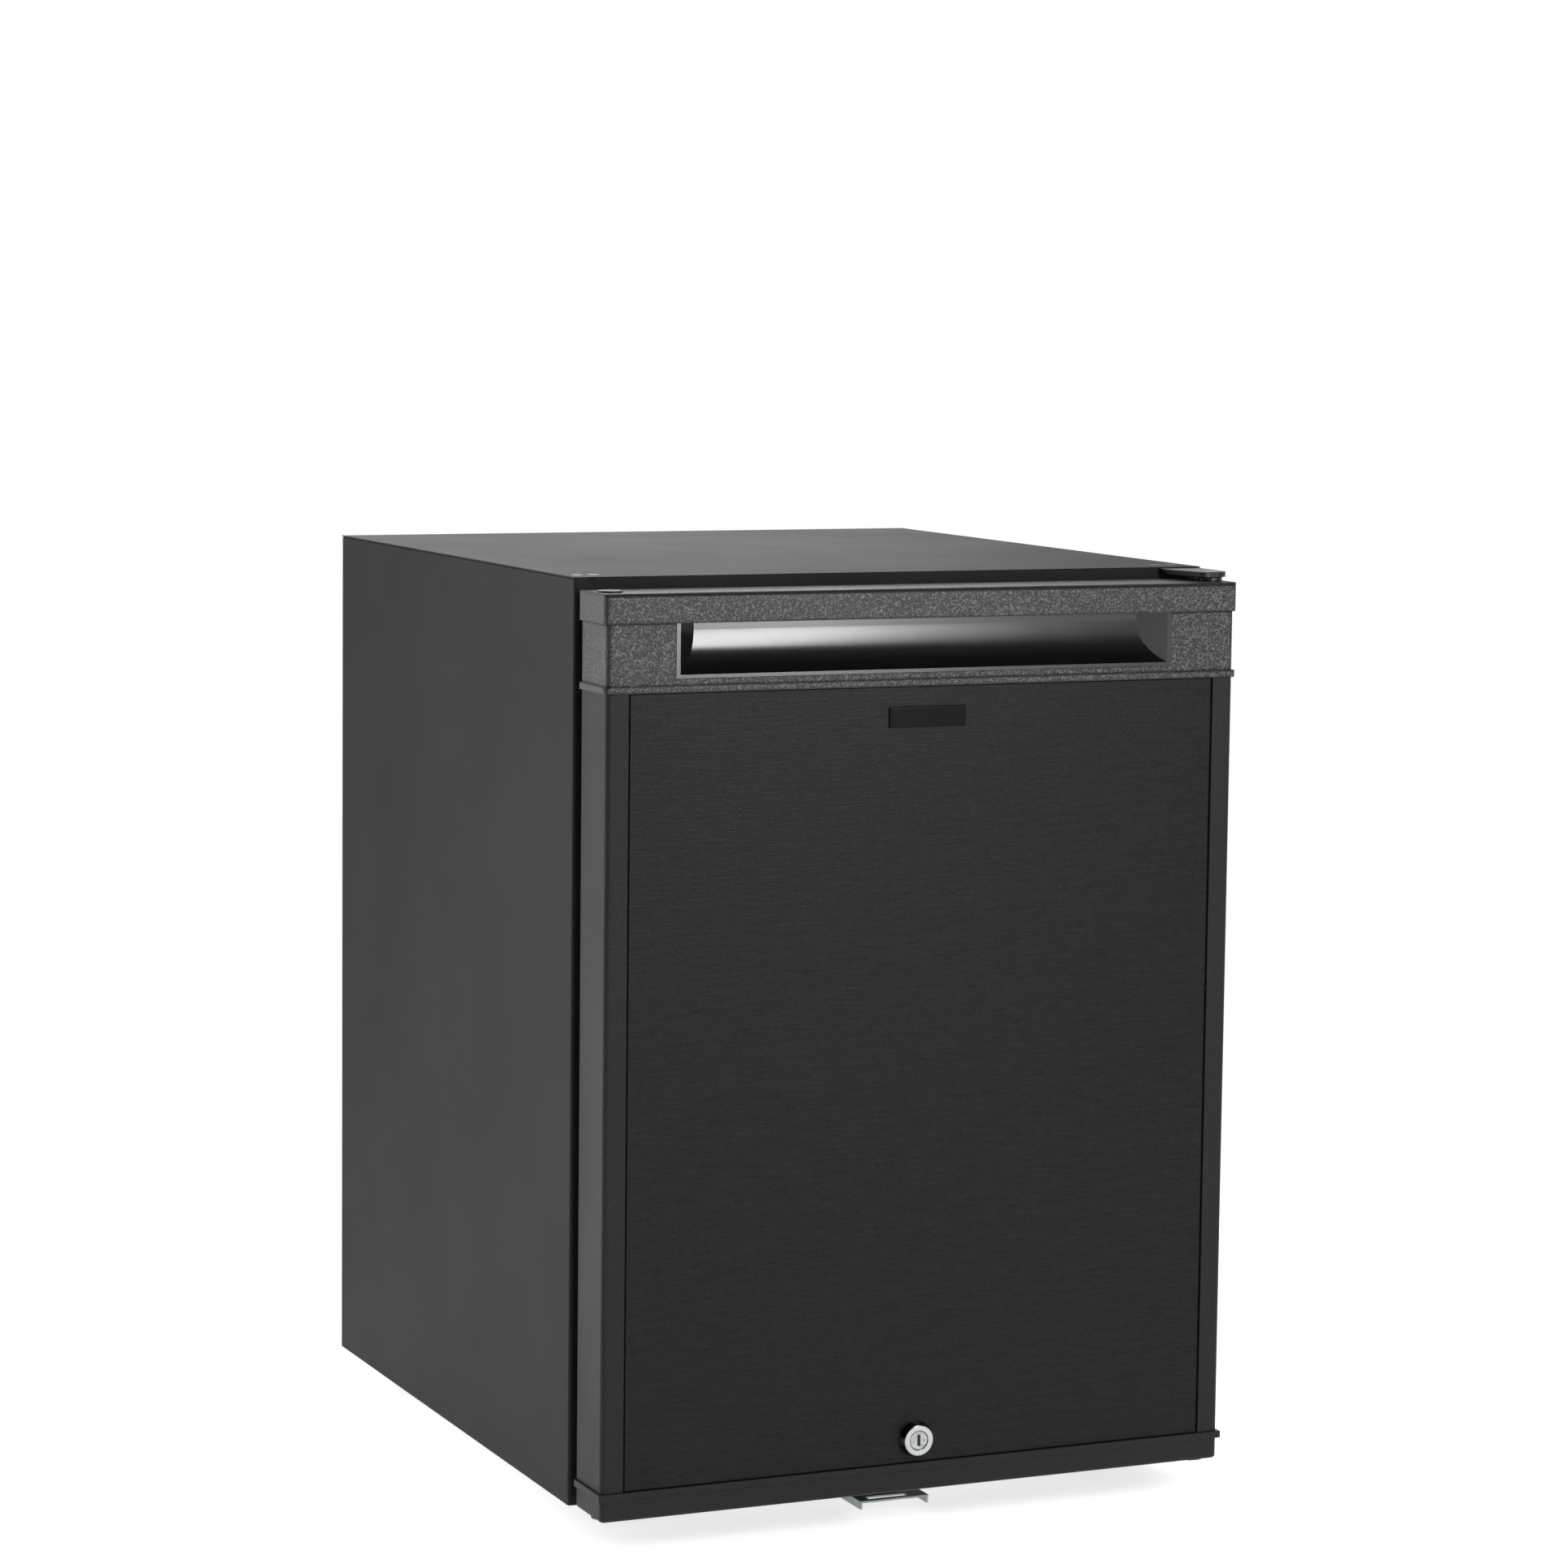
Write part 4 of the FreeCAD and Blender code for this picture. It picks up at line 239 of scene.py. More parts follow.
@dataclass(frozen=True)
class Coated(Finish):
    """Sprayed or dipped coat: an even tone with soft clouds and the peel of the coat.

    Attributes:
        cloud: Size of the clouds in millimetres.
        peel: Size of the peel in millimetres.
    """

    cloud: float = 90.0
    peel: float = 1.6

    def pattern(self, tree: bpy.types.NodeTree, place: bpy.types.NodeSocket) -> Shares:
        """Draws clouds for the colour and roughness, and peel for the height.

        Args:
            tree: Node tree of the material.
            place: Object coordinates.

        Returns:
            Clouds twice, and the peel.
        """
        clouds = add_node(tree, "ShaderNodeTexNoise", None,
                          {"Vector": place, "Scale": per_mm(self.cloud), "Detail": 4.0, "Roughness": 0.6})
        peel = add_node(tree, "ShaderNodeTexNoise", None,
                        {"Vector": place, "Scale": per_mm(self.peel), "Detail": 1.0, "Roughness": 0.4})
        return clouds.outputs["Fac"], clouds.outputs["Fac"], peel.outputs["Fac"]


@dataclass(frozen=True)
class Grained(Finish):
    """Plastic moulded against an etched tool: close pits and lands; the lands take the other tone, which on
    the black plastics is a painted glint.

    Attributes:
        grain: Distance between the lands in millimetres.
        contrast: Half the band in which lands turn to pits, from 0 to 0.5.
        wear: Size of the worn places in millimetres.
    """

    grain: float = 1.2
    contrast: float = 0.2
    wear: float = 60.0

    def pattern(self, tree: bpy.types.NodeTree, place: bpy.types.NodeSocket) -> Shares:
        """Draws lands for the colour and height, and broad wear for the roughness.

        Args:
            tree: Node tree of the material.
            place: Object coordinates.

        Returns:
            Lands, wear and lands.
        """
        lands = add_node(tree, "ShaderNodeTexNoise", None,
                         {"Vector": place, "Scale": per_mm(self.grain), "Detail": 2.0, "Roughness": 0.7})
        sharp = add_node(tree, "ShaderNodeMapRange", None, {
            "Value": lands.outputs["Fac"], "From Min": 0.5 - self.contrast, "From Max": 0.5 + self.contrast})
        wear = add_node(tree, "ShaderNodeTexNoise", None,
                        {"Vector": place, "Scale": per_mm(self.wear), "Detail": 3.0})
        return sharp.outputs["Result"], wear.outputs["Fac"], sharp.outputs["Result"]


@dataclass(frozen=True)
class Streaked(Finish):
    """Surface drawn, brushed or pressed in one direction: long fine lines with short breaks.

    Attributes:
        spacing: Spacing of the lines along X, Y and Z in millimetres; the largest is the lines' length.
        cross: Spacing of the finer pattern that breaks the lines, in millimetres.
        broken: Share of the finer pattern.
        band: Levels between which the colour turns from one tone to the other.
    """

    spacing: tuple[float, float, float] = (20.0, 20.0, 0.8)
    cross: float = 1.2
    broken: float = 0.4
    band: tuple[float, float] = (0.32, 0.68)

    def pattern(self, tree: bpy.types.NodeTree, place: bpy.types.NodeSocket) -> Shares:
        """Draws the lines, and breaks them with a finer pattern.

        Args:
            tree: Node tree of the material.
            place: Object coordinates.

        Returns:
            Broken lines, plain lines and broken lines.
        """
        drawn = add_node(tree, "ShaderNodeMapping", None,
                         {"Vector": place, "Scale": tuple(per_mm(size) for size in self.spacing)})
        lines = add_node(tree, "ShaderNodeTexNoise", None,
                         {"Vector": drawn.outputs["Vector"], "Scale": 1.0, "Detail": 3.0, "Roughness": 0.65})
        breaks = add_node(tree, "ShaderNodeTexNoise", None,
                          {"Vector": place, "Scale": per_mm(self.cross), "Detail": 1.0})
        both = add_node(tree, "ShaderNodeMix", None,
                        {"Factor": self.broken, "A": lines.outputs["Fac"], "B": breaks.outputs["Fac"]})
        sharp = add_node(tree, "ShaderNodeMapRange", None, {
            "Value": both.outputs["Result"], "From Min": self.band[0], "From Max": self.band[1]})
        return sharp.outputs["Result"], lines.outputs["Fac"], sharp.outputs["Result"]


@dataclass(frozen=True)
class Celled(Finish):
    """Surface of flat cells that differ in tone, as zinc spangle or cut foam.

    Attributes:
        cell: Size of a cell in millimetres.
    """

    cell: float = 9.0

    def pattern(self, tree: bpy.types.NodeTree, place: bpy.types.NodeSocket) -> Shares:
        """Draws one tone to a cell, and lets the cells' middles stand up.

        Args:
            tree: Node tree of the material.
            place: Object coordinates.

        Returns:
            Two tones and the cells' relief.
        """
        cells = add_node(tree, "ShaderNodeTexVoronoi", {"feature": "F1"},
                         {"Vector": place, "Scale": per_mm(self.cell), "Randomness": 1.0})
        tone = add_node(tree, "ShaderNodeSeparateColor", None, {"Color": cells.outputs["Color"]})
        return tone.outputs["Red"], tone.outputs["Green"], cells.outputs["Distance"]


@dataclass(frozen=True)
class Opal(Coated):
    """Moulded opal plastic that lets some of the light through.

    Attributes:
        clear: Share of the light that passes.
    """

    clear: float = 0.35

    def settings(self) -> dict[str, object]:
        """Lets that share of the light through."""
        return {"Transmission Weight": self.clear}


# Powder-coated steel sheet: satin, nearly even, with a fine orange peel that softens reflections
BLACK_SHEET = Coated("powder_coated_steel_black", "#19191a", "#141415", (0.54, 0.64), 0.012, specular=0.18)
# Hot-dip galvanised sheet: pale grey spangle whose crystals mirror the light differently, dulled by oxide
ZINC_SHEET = Celled("galvanised_steel", "#b4b7b9", "#9a9da0", (0.34, 0.52), 0.01, metallic=0.6)
# Phosphated and lacquered steel: near black, slightly mottled, with a dull shine
BLACK_STEEL = Coated("lacquered_steel_black", "#191919", "#101010", (0.3, 0.45), 0.02, cloud=14.0, peel=0.9)
# Cut polyurethane foam: yellowish, with open cells
FOAM = Celled("polyurethane_foam", "#e6d9a8", "#cdbd84", (0.8, 0.95), 0.25, cell=1.4)
# Vacuum-formed polystyrene: white with a soft shine and slight waves
WHITE_LINER = Coated("polystyrene_formed_white", "#e8eaeb", "#e1e3e4", (0.36, 0.46), 0.012,
                     cloud=120.0, peel=7.0)
# Injection-moulded polystyrene: white and glossier than the formed sheet
RACK_PLASTIC = Coated("polystyrene_moulded_white", "#eceeef", "#e4e7e9", (0.16, 0.24), 0.01,
                      cloud=60.0, peel=4.0)
# Extruded PVC frame: dull black with faint lines along the extrusion
FRAME_PLASTIC = Streaked("pvc_extruded_black", "#0d0d0e", "#09090a", (0.55, 0.66), 0.01, specular=0.1,
                         spacing=(30.0, 1.0, 30.0))
# Etch-grained ABS: matt black, its lands painted paler as glints; the real grain of 0.5 mm is drawn at 0.9
# mm so that it shows
GRAINED_BLACK = Grained("abs_grained_black", "#0f0f10", "#2c2c2d", (0.42, 0.54), 0.12, specular=0.22,
                        edge=0.8, grain=0.9)
# The same plastic with a sharper grain whose paler lands are painted glints; the grain stops short of its
# edges, which are painted near black as shade and dark reflections; it too is drawn larger than it is
COARSE_BLACK = Grained("abs_coarse_grained_black", "#0a0a0b", "#616162", (0.36, 0.48), 0.24, specular=0.55,
                       edge=2.4, edge_shade="#020202", grain=0.92, contrast=0.06)
# Smooth ABS: black with a low shine
PLAIN_BLACK = Coated("abs_smooth_black", "#1d1d1e", "#171718", (0.34, 0.44), 0.015, cloud=30.0, peel=2.0)
# Polished ABS: deep black mirror gloss, a little softened by moulding ripples
GLOSS_BLACK = Coated("abs_polished_black", "#0f0f10", "#0b0b0c", (0.2, 0.26), 0.006, specular=0.95,
                     edge=0.15, cloud=50.0, peel=12.0)
# Cast acrylic plate: black all through, with an even shine
BADGE_ACRYLIC = Coated("acrylic_cast_black", "#050506", "#040405", (0.14, 0.2), 0.003, specular=0.15,
                       cloud=20.0, peel=6.0)
# Vinyl-laminated panel: fine lines pressed across it, broken by a weave; 0.4 mm lines are drawn at 0.9 mm
DOOR_SKIN = Streaked("vinyl_laminate_black", "#0e0e0f", "#242425", (0.36, 0.46), 0.14, specular=0.16,
                     spacing=(14.0, 14.0, 0.9))
# Soft PVC gasket: dull black
GASKET_RUBBER = Coated("soft_pvc_black", "#0a0a0b", "#070708", (0.6, 0.75), 0.03, specular=0.06,
                       cloud=40.0, peel=2.5)
# Moulded rubber: dark grey, dusty
FOOT_RUBBER = Grained("moulded_rubber_black", "#1d1d1d", "#282827", (0.7, 0.85), 0.06, grain=2.0)
# Chromed zinc casting: a mirror that shows the room and the floor, with a painted dark reflection along its
# edges
LOCK_CHROME = Streaked("chromed_zinc", "#c6c7c8", "#a9abad", (0.12, 0.22), 0.004, metallic=1.0,
                       edge=1.4, edge_shade="#454648", spacing=(6.0, 6.0, 0.7), cross=0.9)
# Nickel-plated brass, tumbled: pale and satin, so that the lamps light all of it, with small dents
# Its bevels and sloped sides are painted near black: a painted dark reflection round the face
LOCK_NICKEL = Celled("nickel_plated_brass", "#d2d3d4", "#9fa1a3", (0.36, 0.5), 0.06, metallic=0.8, cell=1.6,
                     edge=0.7, edge_shade="#0c0c0c")
# Zinc-plated and yellow-passivated steel: pale brass tint
LOCK_STEEL = Coated("passivated_steel", "#b9b39d", "#a59f8c", (0.28, 0.42), 0.01, metallic=1.0,
                    cloud=8.0, peel=1.0)
# Epoxy-coated wire: white, thick and glossy
SHELF_WIRE = Coated("epoxy_coated_wire_white", "#e4e6e8", "#d9dcde", (0.2, 0.3), 0.02, cloud=20.0, peel=1.8)
# Mill-finish aluminium: pale, with draw lines along the extrusion
BARE_ALUMINIUM = Streaked("aluminium_mill_finish", "#c8cacc", "#b2b5b8", (0.28, 0.44), 0.006, metallic=1.0,
                          spacing=(0.7, 0.7, 40.0))
# Opal polycarbonate: milky, light shows through
LENS_PLASTIC = Opal("polycarbonate_opal", "#f0efe8", "#e8e7df", (0.3, 0.4), 0.02, cloud=30.0, peel=3.0)
# Moulded ABS knob: pale grey with a soft shine
KNOB_PLASTIC = Coated("abs_moulded_grey", "#d3d5d7", "#c9ccce", (0.3, 0.4), 0.012, cloud=15.0, peel=1.6)
# Stoved enamel over steel tube: black, with sags and dust
UNIT_PAINT = Coated("stoved_enamel_black", "#202122", "#191a1b", (0.3, 0.48), 0.04, cloud=35.0, peel=3.0)
# Printed scale: dull dark ink
SCALE_INK = Grained("printing_ink_grey", "#46494c", "#54575a", (0.5, 0.6), 0.005, grain=0.6)


def dress(nodes: tuple[str, ...], finish: Finish) -> None:
    """Gives nodes of the frame a finish.

    Args:
        nodes: Names of the nodes.
        finish: Finish that they all take.
    """
    for name in nodes:
        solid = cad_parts[name]
        if not solid.material_slots:
            solid.data.materials.append(None)
        for entry in solid.material_slots:
            entry.material = finish.material()
        LOG.info("dressed %s in %s", name, finish.name)


def piece(name: str, mesh: bmesh.types.BMesh, body: Body, finish: Finish) -> None:
    """Turns a finished bmesh into a piece that rides on a body.

    Args:
        name: Name of the piece.
        mesh: Its geometry, in place.
        body: Body that it rides on.
        finish: Its finish.
    """
    bmesh.ops.recalc_face_normals(mesh, faces=mesh.faces)
    data = bpy.data.meshes.new(name)
    mesh.to_mesh(data)
    mesh.free()
    data.materials.append(finish.material())
    made = bpy.data.objects.new(name, data)
    bpy.context.scene.collection.objects.link(made)
    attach(made, body.value)
    LOG.info("built %s on %s", name, body.value)


def add_block(mesh: bmesh.types.BMesh, centre: Vector, size: Vector,
              bevel: float) -> list[bmesh.types.BMVert]:
    """Adds a block with all edges bevelled.

    Args:
        mesh: Mesh that takes the block.
        centre: Its middle, in metres.
        size: Its lengths, in metres.
        bevel: Width of the bevel, in metres.

    Returns:
        Its vertices.
    """
    before = set(mesh.verts)
    place = Matrix.Translation(centre) @ Matrix.Diagonal((*size, 1.0))
    verts = bmesh.ops.create_cube(mesh, size=1.0, matrix=place)["verts"]
    edges = list({edge for vert in verts for edge in vert.link_edges})
    bmesh.ops.bevel(mesh, geom=edges, offset=bevel, affect="EDGES", segments=BEVEL_STEPS, profile=0.5,
                    material=-1)
    return [vert for vert in mesh.verts if vert not in before]


def add_screw(mesh: bmesh.types.BMesh, place: Vector, radius: float, height: float, sides: int) -> None:
    """Adds a screw head that points backward, with a bevelled rim and a sunken middle.

    Args:
        mesh: Mesh that takes the head.
        place: Middle of its seat, in metres.
        radius: Radius of the head, in metres.
        height: Height of the head, in metres.
        sides: Number of its sides.
    """
    seat = Matrix.Translation(place) @ Matrix.Rotation(math.radians(-90), 4, "X")
    ring = bmesh.ops.create_circle(mesh, cap_ends=True, segments=sides, radius=radius, matrix=seat)["verts"]
    base = next(face for face in ring[0].link_faces if len(face.verts) == sides)
    raised = bmesh.ops.extrude_face_region(mesh, geom=[base])["geom"]
    top = [item for item in raised if isinstance(item, bmesh.types.BMVert)]
    bmesh.ops.translate(mesh, verts=top, vec=BACKWARD * height)
    cap = next(item for item in raised if isinstance(item, bmesh.types.BMFace))
    bmesh.ops.bevel(mesh, geom=list(cap.edges), offset=height * HEAD_BEVEL, affect="EDGES",
                    segments=BEVEL_STEPS, profile=0.5, material=-1)
    newest = mesh.faces[-sides * (BEVEL_STEPS + 1):]
    crown = max(newest, key=lambda face: face.calc_center_median().dot(BACKWARD) * len(face.verts))
    sunk = bmesh.ops.inset_region(mesh, faces=[crown], thickness=radius * HEAD_RECESS, use_even_offset=True)
    if sunk["faces"]:
        bmesh.ops.translate(mesh, verts=crown.verts, vec=BACKWARD * -height * HEAD_SINK)


def add_ring(mesh: bmesh.types.BMesh, outline: list[tuple[float, float]], centre: Vector, axis: Vector,
             side: Vector) -> None:
    """Adds a ring by spinning a closed outline about an axis.

    Args:
        mesh: Mesh that takes the ring.
        outline: Corners as radius and height along the axis, in metres.
        centre: Middle of the ring, in metres.
        axis: Direction of the axis.
        side: Direction in which the radius starts, square to the axis.
    """
    verts = [mesh.verts.new(centre + side * radius + axis * height) for radius, height in outline]
    face = mesh.faces.new(verts)
    bmesh.ops.spin(mesh, geom=[face, *face.edges, *face.verts], cent=centre, axis=axis, dvec=(0, 0, 0),
                   angle=math.tau, steps=RING_STEPS, use_merge=True, use_duplicate=False)


class SubAssembly(ABC):
    """A group of solids with the small pieces that are fitted to it."""

    @abstractmethod
    def build(self) -> None:
        """Builds the fitted pieces."""

    @abstractmethod
    def dress(self) -> None:
        """Gives the solids their finishes."""


@dataclass
class Cabinet(SubAssembly):
    """Sheet-metal cabinet with its base, hinges, feet and the rails on its back panel.

    Attributes:
        screw_side: Distance of the rail screws from the middle.
        screw_radius: Radius of the rail screws' heads.
        screw_height: Height of the rail screws' heads.
    """

    screw_side: float = 179.5
    screw_radius: float = 4.2
    screw_height: float = 3.0

    def build(self) -> None:
        """Builds the hexagon screws of the rails."""
        mesh = bmesh.new()
        for rail in ("unit_rail_lower", "unit_rail_upper"):
            low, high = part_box(rail)
            for side in (-1, 1):
                place = Vector((side * self.screw_side * MM, high.y, (low.z + high.z) / 2))
                add_screw(mesh, place, self.screw_radius * MM, self.screw_height * MM, HEXAGON)
        piece("rail_screws", mesh, Body.CABINET, ZINC_SHEET)

    def dress(self) -> None:
        """Gives the sheets, the hinges, the rails and the feet their finishes."""
        dress(("side_panel_left", "side_panel_right", "top_panel"), BLACK_SHEET)
        dress(("base_pan", "back_panel", "lock_keeper", "base_screws", "hinge_pin_top", "hinge_pin_bottom"),
              ZINC_SHEET)
        dress(("hinge_plate_top", "hinge_plate_bottom", "hinge_screws", "blanking_screws"), BLACK_STEEL)
        dress(("unit_rail_lower", "unit_rail_upper"), ZINC_SHEET)
        dress(("insulation_foam",), FOAM)
        dress(("front_frame",), FRAME_PLASTIC)
        dress(("feet",), FOOT_RUBBER)


@dataclass
class Door(SubAssembly):
    """Insulated door with its trims, handle, panel and lock.

    Attributes:
        badge_width: Width of the bare badge plate.
        badge_height: Height of the badge plate.
        badge_thick: Thickness of the badge plate.
        badge_side: Place of the badge's middle across the door.
        badge_level: Height of the badge's middle above the floor.
        badge_bevel: Width of the bevel along the badge's edges.
    """

    badge_width: float = 48.5
    badge_height: float = 12.0
    badge_thick: float = 1.4
    badge_side: float = -0.8
    badge_level: float = 475.7
    badge_bevel: float = 0.6

    def build(self) -> None:
        """Builds the bare badge plate on the panel."""
        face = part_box("door_panel")[0].y
        middle = Vector((self.badge_side * MM, face - self.badge_thick * MM / 2, self.badge_level * MM))
        size = Vector((self.badge_width, self.badge_thick, self.badge_height)) * MM
        mesh = bmesh.new()
        add_block(mesh, middle, size, self.badge_bevel * MM)
        piece("badge_plate", mesh, Body.DOOR, BADGE_ACRYLIC)

    def dress(self) -> None:
        """Gives the door's pieces their finishes."""
        dress(("top_cap", "handle_rail"), COARSE_BLACK)
        dress(("side_trim_left", "side_trim_right", "bottom_cap"), GRAINED_BLACK)
        dress(("handle_cup",), GLOSS_BLACK)
        dress(("door_panel",), DOOR_SKIN)
        dress(("door_gasket",), GASKET_RUBBER)
        dress(("door_liner",), WHITE_LINER)
        dress(("door_foam",), FOAM)
        dress(("door_rack_lower", "door_rack_middle", "door_rack_upper"), RACK_PLASTIC)
        dress(("hinge_bush_top", "hinge_bush_bottom", "door_hole_plugs", "lock_box"), PLAIN_BLACK)
        dress(("lock_body",), LOCK_CHROME)
        dress(("lock_plug",), LOCK_NICKEL)
        dress(("lock_nut", "lock_cam", "cam_screw"), LOCK_STEEL)


@dataclass
class Interior(SubAssembly):
    """Liner and fittings of the cold room.

    Attributes:
        mark_count: Number of marks round the knob.
        mark_sweep: Angle between the first and the last mark, in degrees.
        mark_radius: Distance of a mark's inner end from the knob's axis.
        mark_width: Width of a mark.
        mark_short: Length of the first mark; the marks grow from it.
        mark_growth: Growth in length from one mark to the next.
        mark_thick: Thickness of the printed mark.
        mark_bevel: Width of the bevel along a mark's edges.
    """

    mark_count: int = 7
    mark_sweep: float = 270.0
    mark_radius: float = 15.2
    mark_width: float = 0.9
    mark_short: float = 1.4
    mark_growth: float = 0.25
    mark_thick: float = 0.2
    mark_bevel: float = 0.05

    def build(self) -> None:
        """Builds the printed marks round the thermostat knob."""
        low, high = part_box("thermostat_knob")
        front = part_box("control_housing")[0].y
        hub = Vector(((low.x + high.x) / 2, front - self.mark_thick * MM / 2, (low.z + high.z) / 2))
        mesh = bmesh.new()
        for index in range(self.mark_count):
            length = (self.mark_short + self.mark_growth * index) * MM
            out = self.mark_radius * MM + length / 2
            size = Vector((self.mark_width * MM, self.mark_thick * MM, length))
            verts = add_block(mesh, hub + UPWARD * out, size, self.mark_bevel * MM)
            angle = math.radians(self.mark_sweep * (index / (self.mark_count - 1) - 0.5))
            bmesh.ops.rotate(mesh, verts=verts, cent=hub, matrix=Matrix.Rotation(angle, 3, "Y"))
        piece("dial_marks", mesh, Body.CABINET, SCALE_INK)

    def dress(self) -> None:
        """Gives the liner and the fittings their finishes."""
        dress(("inner_liner", "control_housing", "drip_tray"), WHITE_LINER)
        dress(("wire_shelf_lower", "wire_shelf_upper"), SHELF_WIRE)
        dress(("evaporator",), BARE_ALUMINIUM)
        dress(("lamp_lens",), LENS_PLASTIC)
        dress(("thermostat_knob",), KNOB_PLASTIC)


@dataclass
class CoolingUnit(SubAssembly):
    """Absorption unit in the rear bay, with its straps, welds and terminal box.

    Attributes:
        strap_levels: Heights of the boiler's straps.
        strap_width: Width of a strap.
        strap_thick: Thickness of a strap.
        weld_radius: Radius of the weld bead at each end of the vessel.
        weld_inset: Distance of the bead from the vessel's end.
        weld_sides: Number of sides of the bead's section.
        clamp_size: Width, depth and height of the clamp that closes a strap.
        clamp_bevel: Width of the bevel along the clamp's edges.
        clamp_screw: Radius and height of the clamp's hexagon screw.
        screw_seat: Distance of the clamp's screw from the clamp's middle.
        lid_screw: Radius and height of the lid screws' heads.
        lid_screw_sides: Number of sides of the lid screws' heads.
        lid_screw_inset: Distance of the lid screws from the box's ends.
    """

    strap_levels: tuple[float, ...] = (168.0, 292.0, 366.0)
    strap_width: float = 12.0
    strap_thick: float = 0.9
    weld_radius: float = 1.4
    weld_inset: float = 15.0
    weld_sides: int = 10
    clamp_size: tuple[float, float, float] = (9.0, 5.0, 11.0)
    clamp_bevel: float = 0.8
    clamp_screw: tuple[float, float] = (3.0, 1.8)
    screw_seat: float = 2.4
    lid_screw: tuple[float, float] = (2.6, 1.4)
    lid_screw_sides: int = 24
    lid_screw_inset: float = 8.0

    def build_straps(self) -> None:
        """Builds the straps round the boiler jacket, each with its clamp."""
        low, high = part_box("boiler_jacket")
        radius = (high.x - low.x) / 2
        thick = self.strap_thick * MM
        half = self.strap_width * MM / 2
        screw_radius, screw_height = self.clamp_screw
        mesh = bmesh.new()
        for level in self.strap_levels:
            middle = Vector(((low.x + high.x) / 2, (low.y + high.y) / 2, level * MM))
            outline = [(radius, -half), (radius + thick, -half), (radius + thick, half), (radius, half)]
            add_ring(mesh, outline, middle, UPWARD, RIGHTWARD)
            clamp = middle + BACKWARD * (radius + thick + self.clamp_size[1] * MM / 2)
            add_block(mesh, clamp, Vector(self.clamp_size) * MM, self.clamp_bevel * MM)
            seat = clamp + BACKWARD * self.screw_seat * MM
            add_screw(mesh, seat, screw_radius * MM, screw_height * MM, HEXAGON)
        piece("boiler_straps", mesh, Body.CABINET, ZINC_SHEET)

    def build_welds(self) -> None:
        """Builds the weld beads round the ends of the absorber vessel."""
        low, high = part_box("absorber_vessel")
        radius = (high.z - low.z) / 2
        bead = self.weld_radius * MM
        corners = [math.tau * index / self.weld_sides for index in range(self.weld_sides)]
        outline = [(radius + bead * math.cos(corner), bead * math.sin(corner)) for corner in corners]
        mesh = bmesh.new()
        for x in (low.x + self.weld_inset * MM, high.x - self.weld_inset * MM):
            middle = Vector((x, (low.y + high.y) / 2, (low.z + high.z) / 2))
            add_ring(mesh, outline, middle, RIGHTWARD, BACKWARD)
        piece("vessel_welds", mesh, Body.CABINET, UNIT_PAINT)

    def build_screws(self) -> None:
        """Builds the screws of the terminal box's lid."""
        low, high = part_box("terminal_box")
        radius, height = self.lid_screw
        mesh = bmesh.new()
        for x in (low.x + self.lid_screw_inset * MM, high.x - self.lid_screw_inset * MM):
            place = Vector((x, high.y, (low.z + high.z) / 2))
            add_screw(mesh, place, radius * MM, height * MM, self.lid_screw_sides)
        piece("lid_screws", mesh, Body.CABINET, ZINC_SHEET)

    def build(self) -> None:
        """Builds the straps, welds and screws."""
        self.build_straps()
        self.build_welds()
        self.build_screws()

    def dress(self) -> None:
        """Gives the unit and the terminal box their finishes."""
        dress(("boiler_jacket", "absorber_vessel", "absorber_coil", "condenser_tube", "gas_return_pipe",
               "heat_exchanger"), UNIT_PAINT)
        dress(("condenser_fins",), BARE_ALUMINIUM)
        dress(("terminal_box", "cable_gland"), PLAIN_BLACK)


@dataclass(frozen=True)
class Softbox:
    """A large soft lamp.

    Attributes:
        name: Name of the lamp.
        place: Its place in metres.
        target: Point that it faces, in metres.
        size: Its width and height in metres.
        power: Its power in watts.
    """

    name: str
    place: tuple[float, float, float]
    target: tuple[float, float, float]
    size: tuple[float, float]
    power: float

    def build(self) -> None:
        """Sets up the lamp, facing its target."""
        lamp = bpy.data.lights.new(self.name, "AREA")
        lamp.shape = "RECTANGLE"
        lamp.size, lamp.size_y = self.size
        lamp.energy = self.power
        stand = bpy.data.objects.new(self.name, lamp)
        aim = (Vector(self.target) - Vector(self.place)).to_track_quat("-Z", "Y")
        stand.matrix_world = Matrix.Translation(self.place) @ aim.to_matrix().to_4x4()
        stand.visible_camera = False
        bpy.context.scene.collection.objects.link(stand)


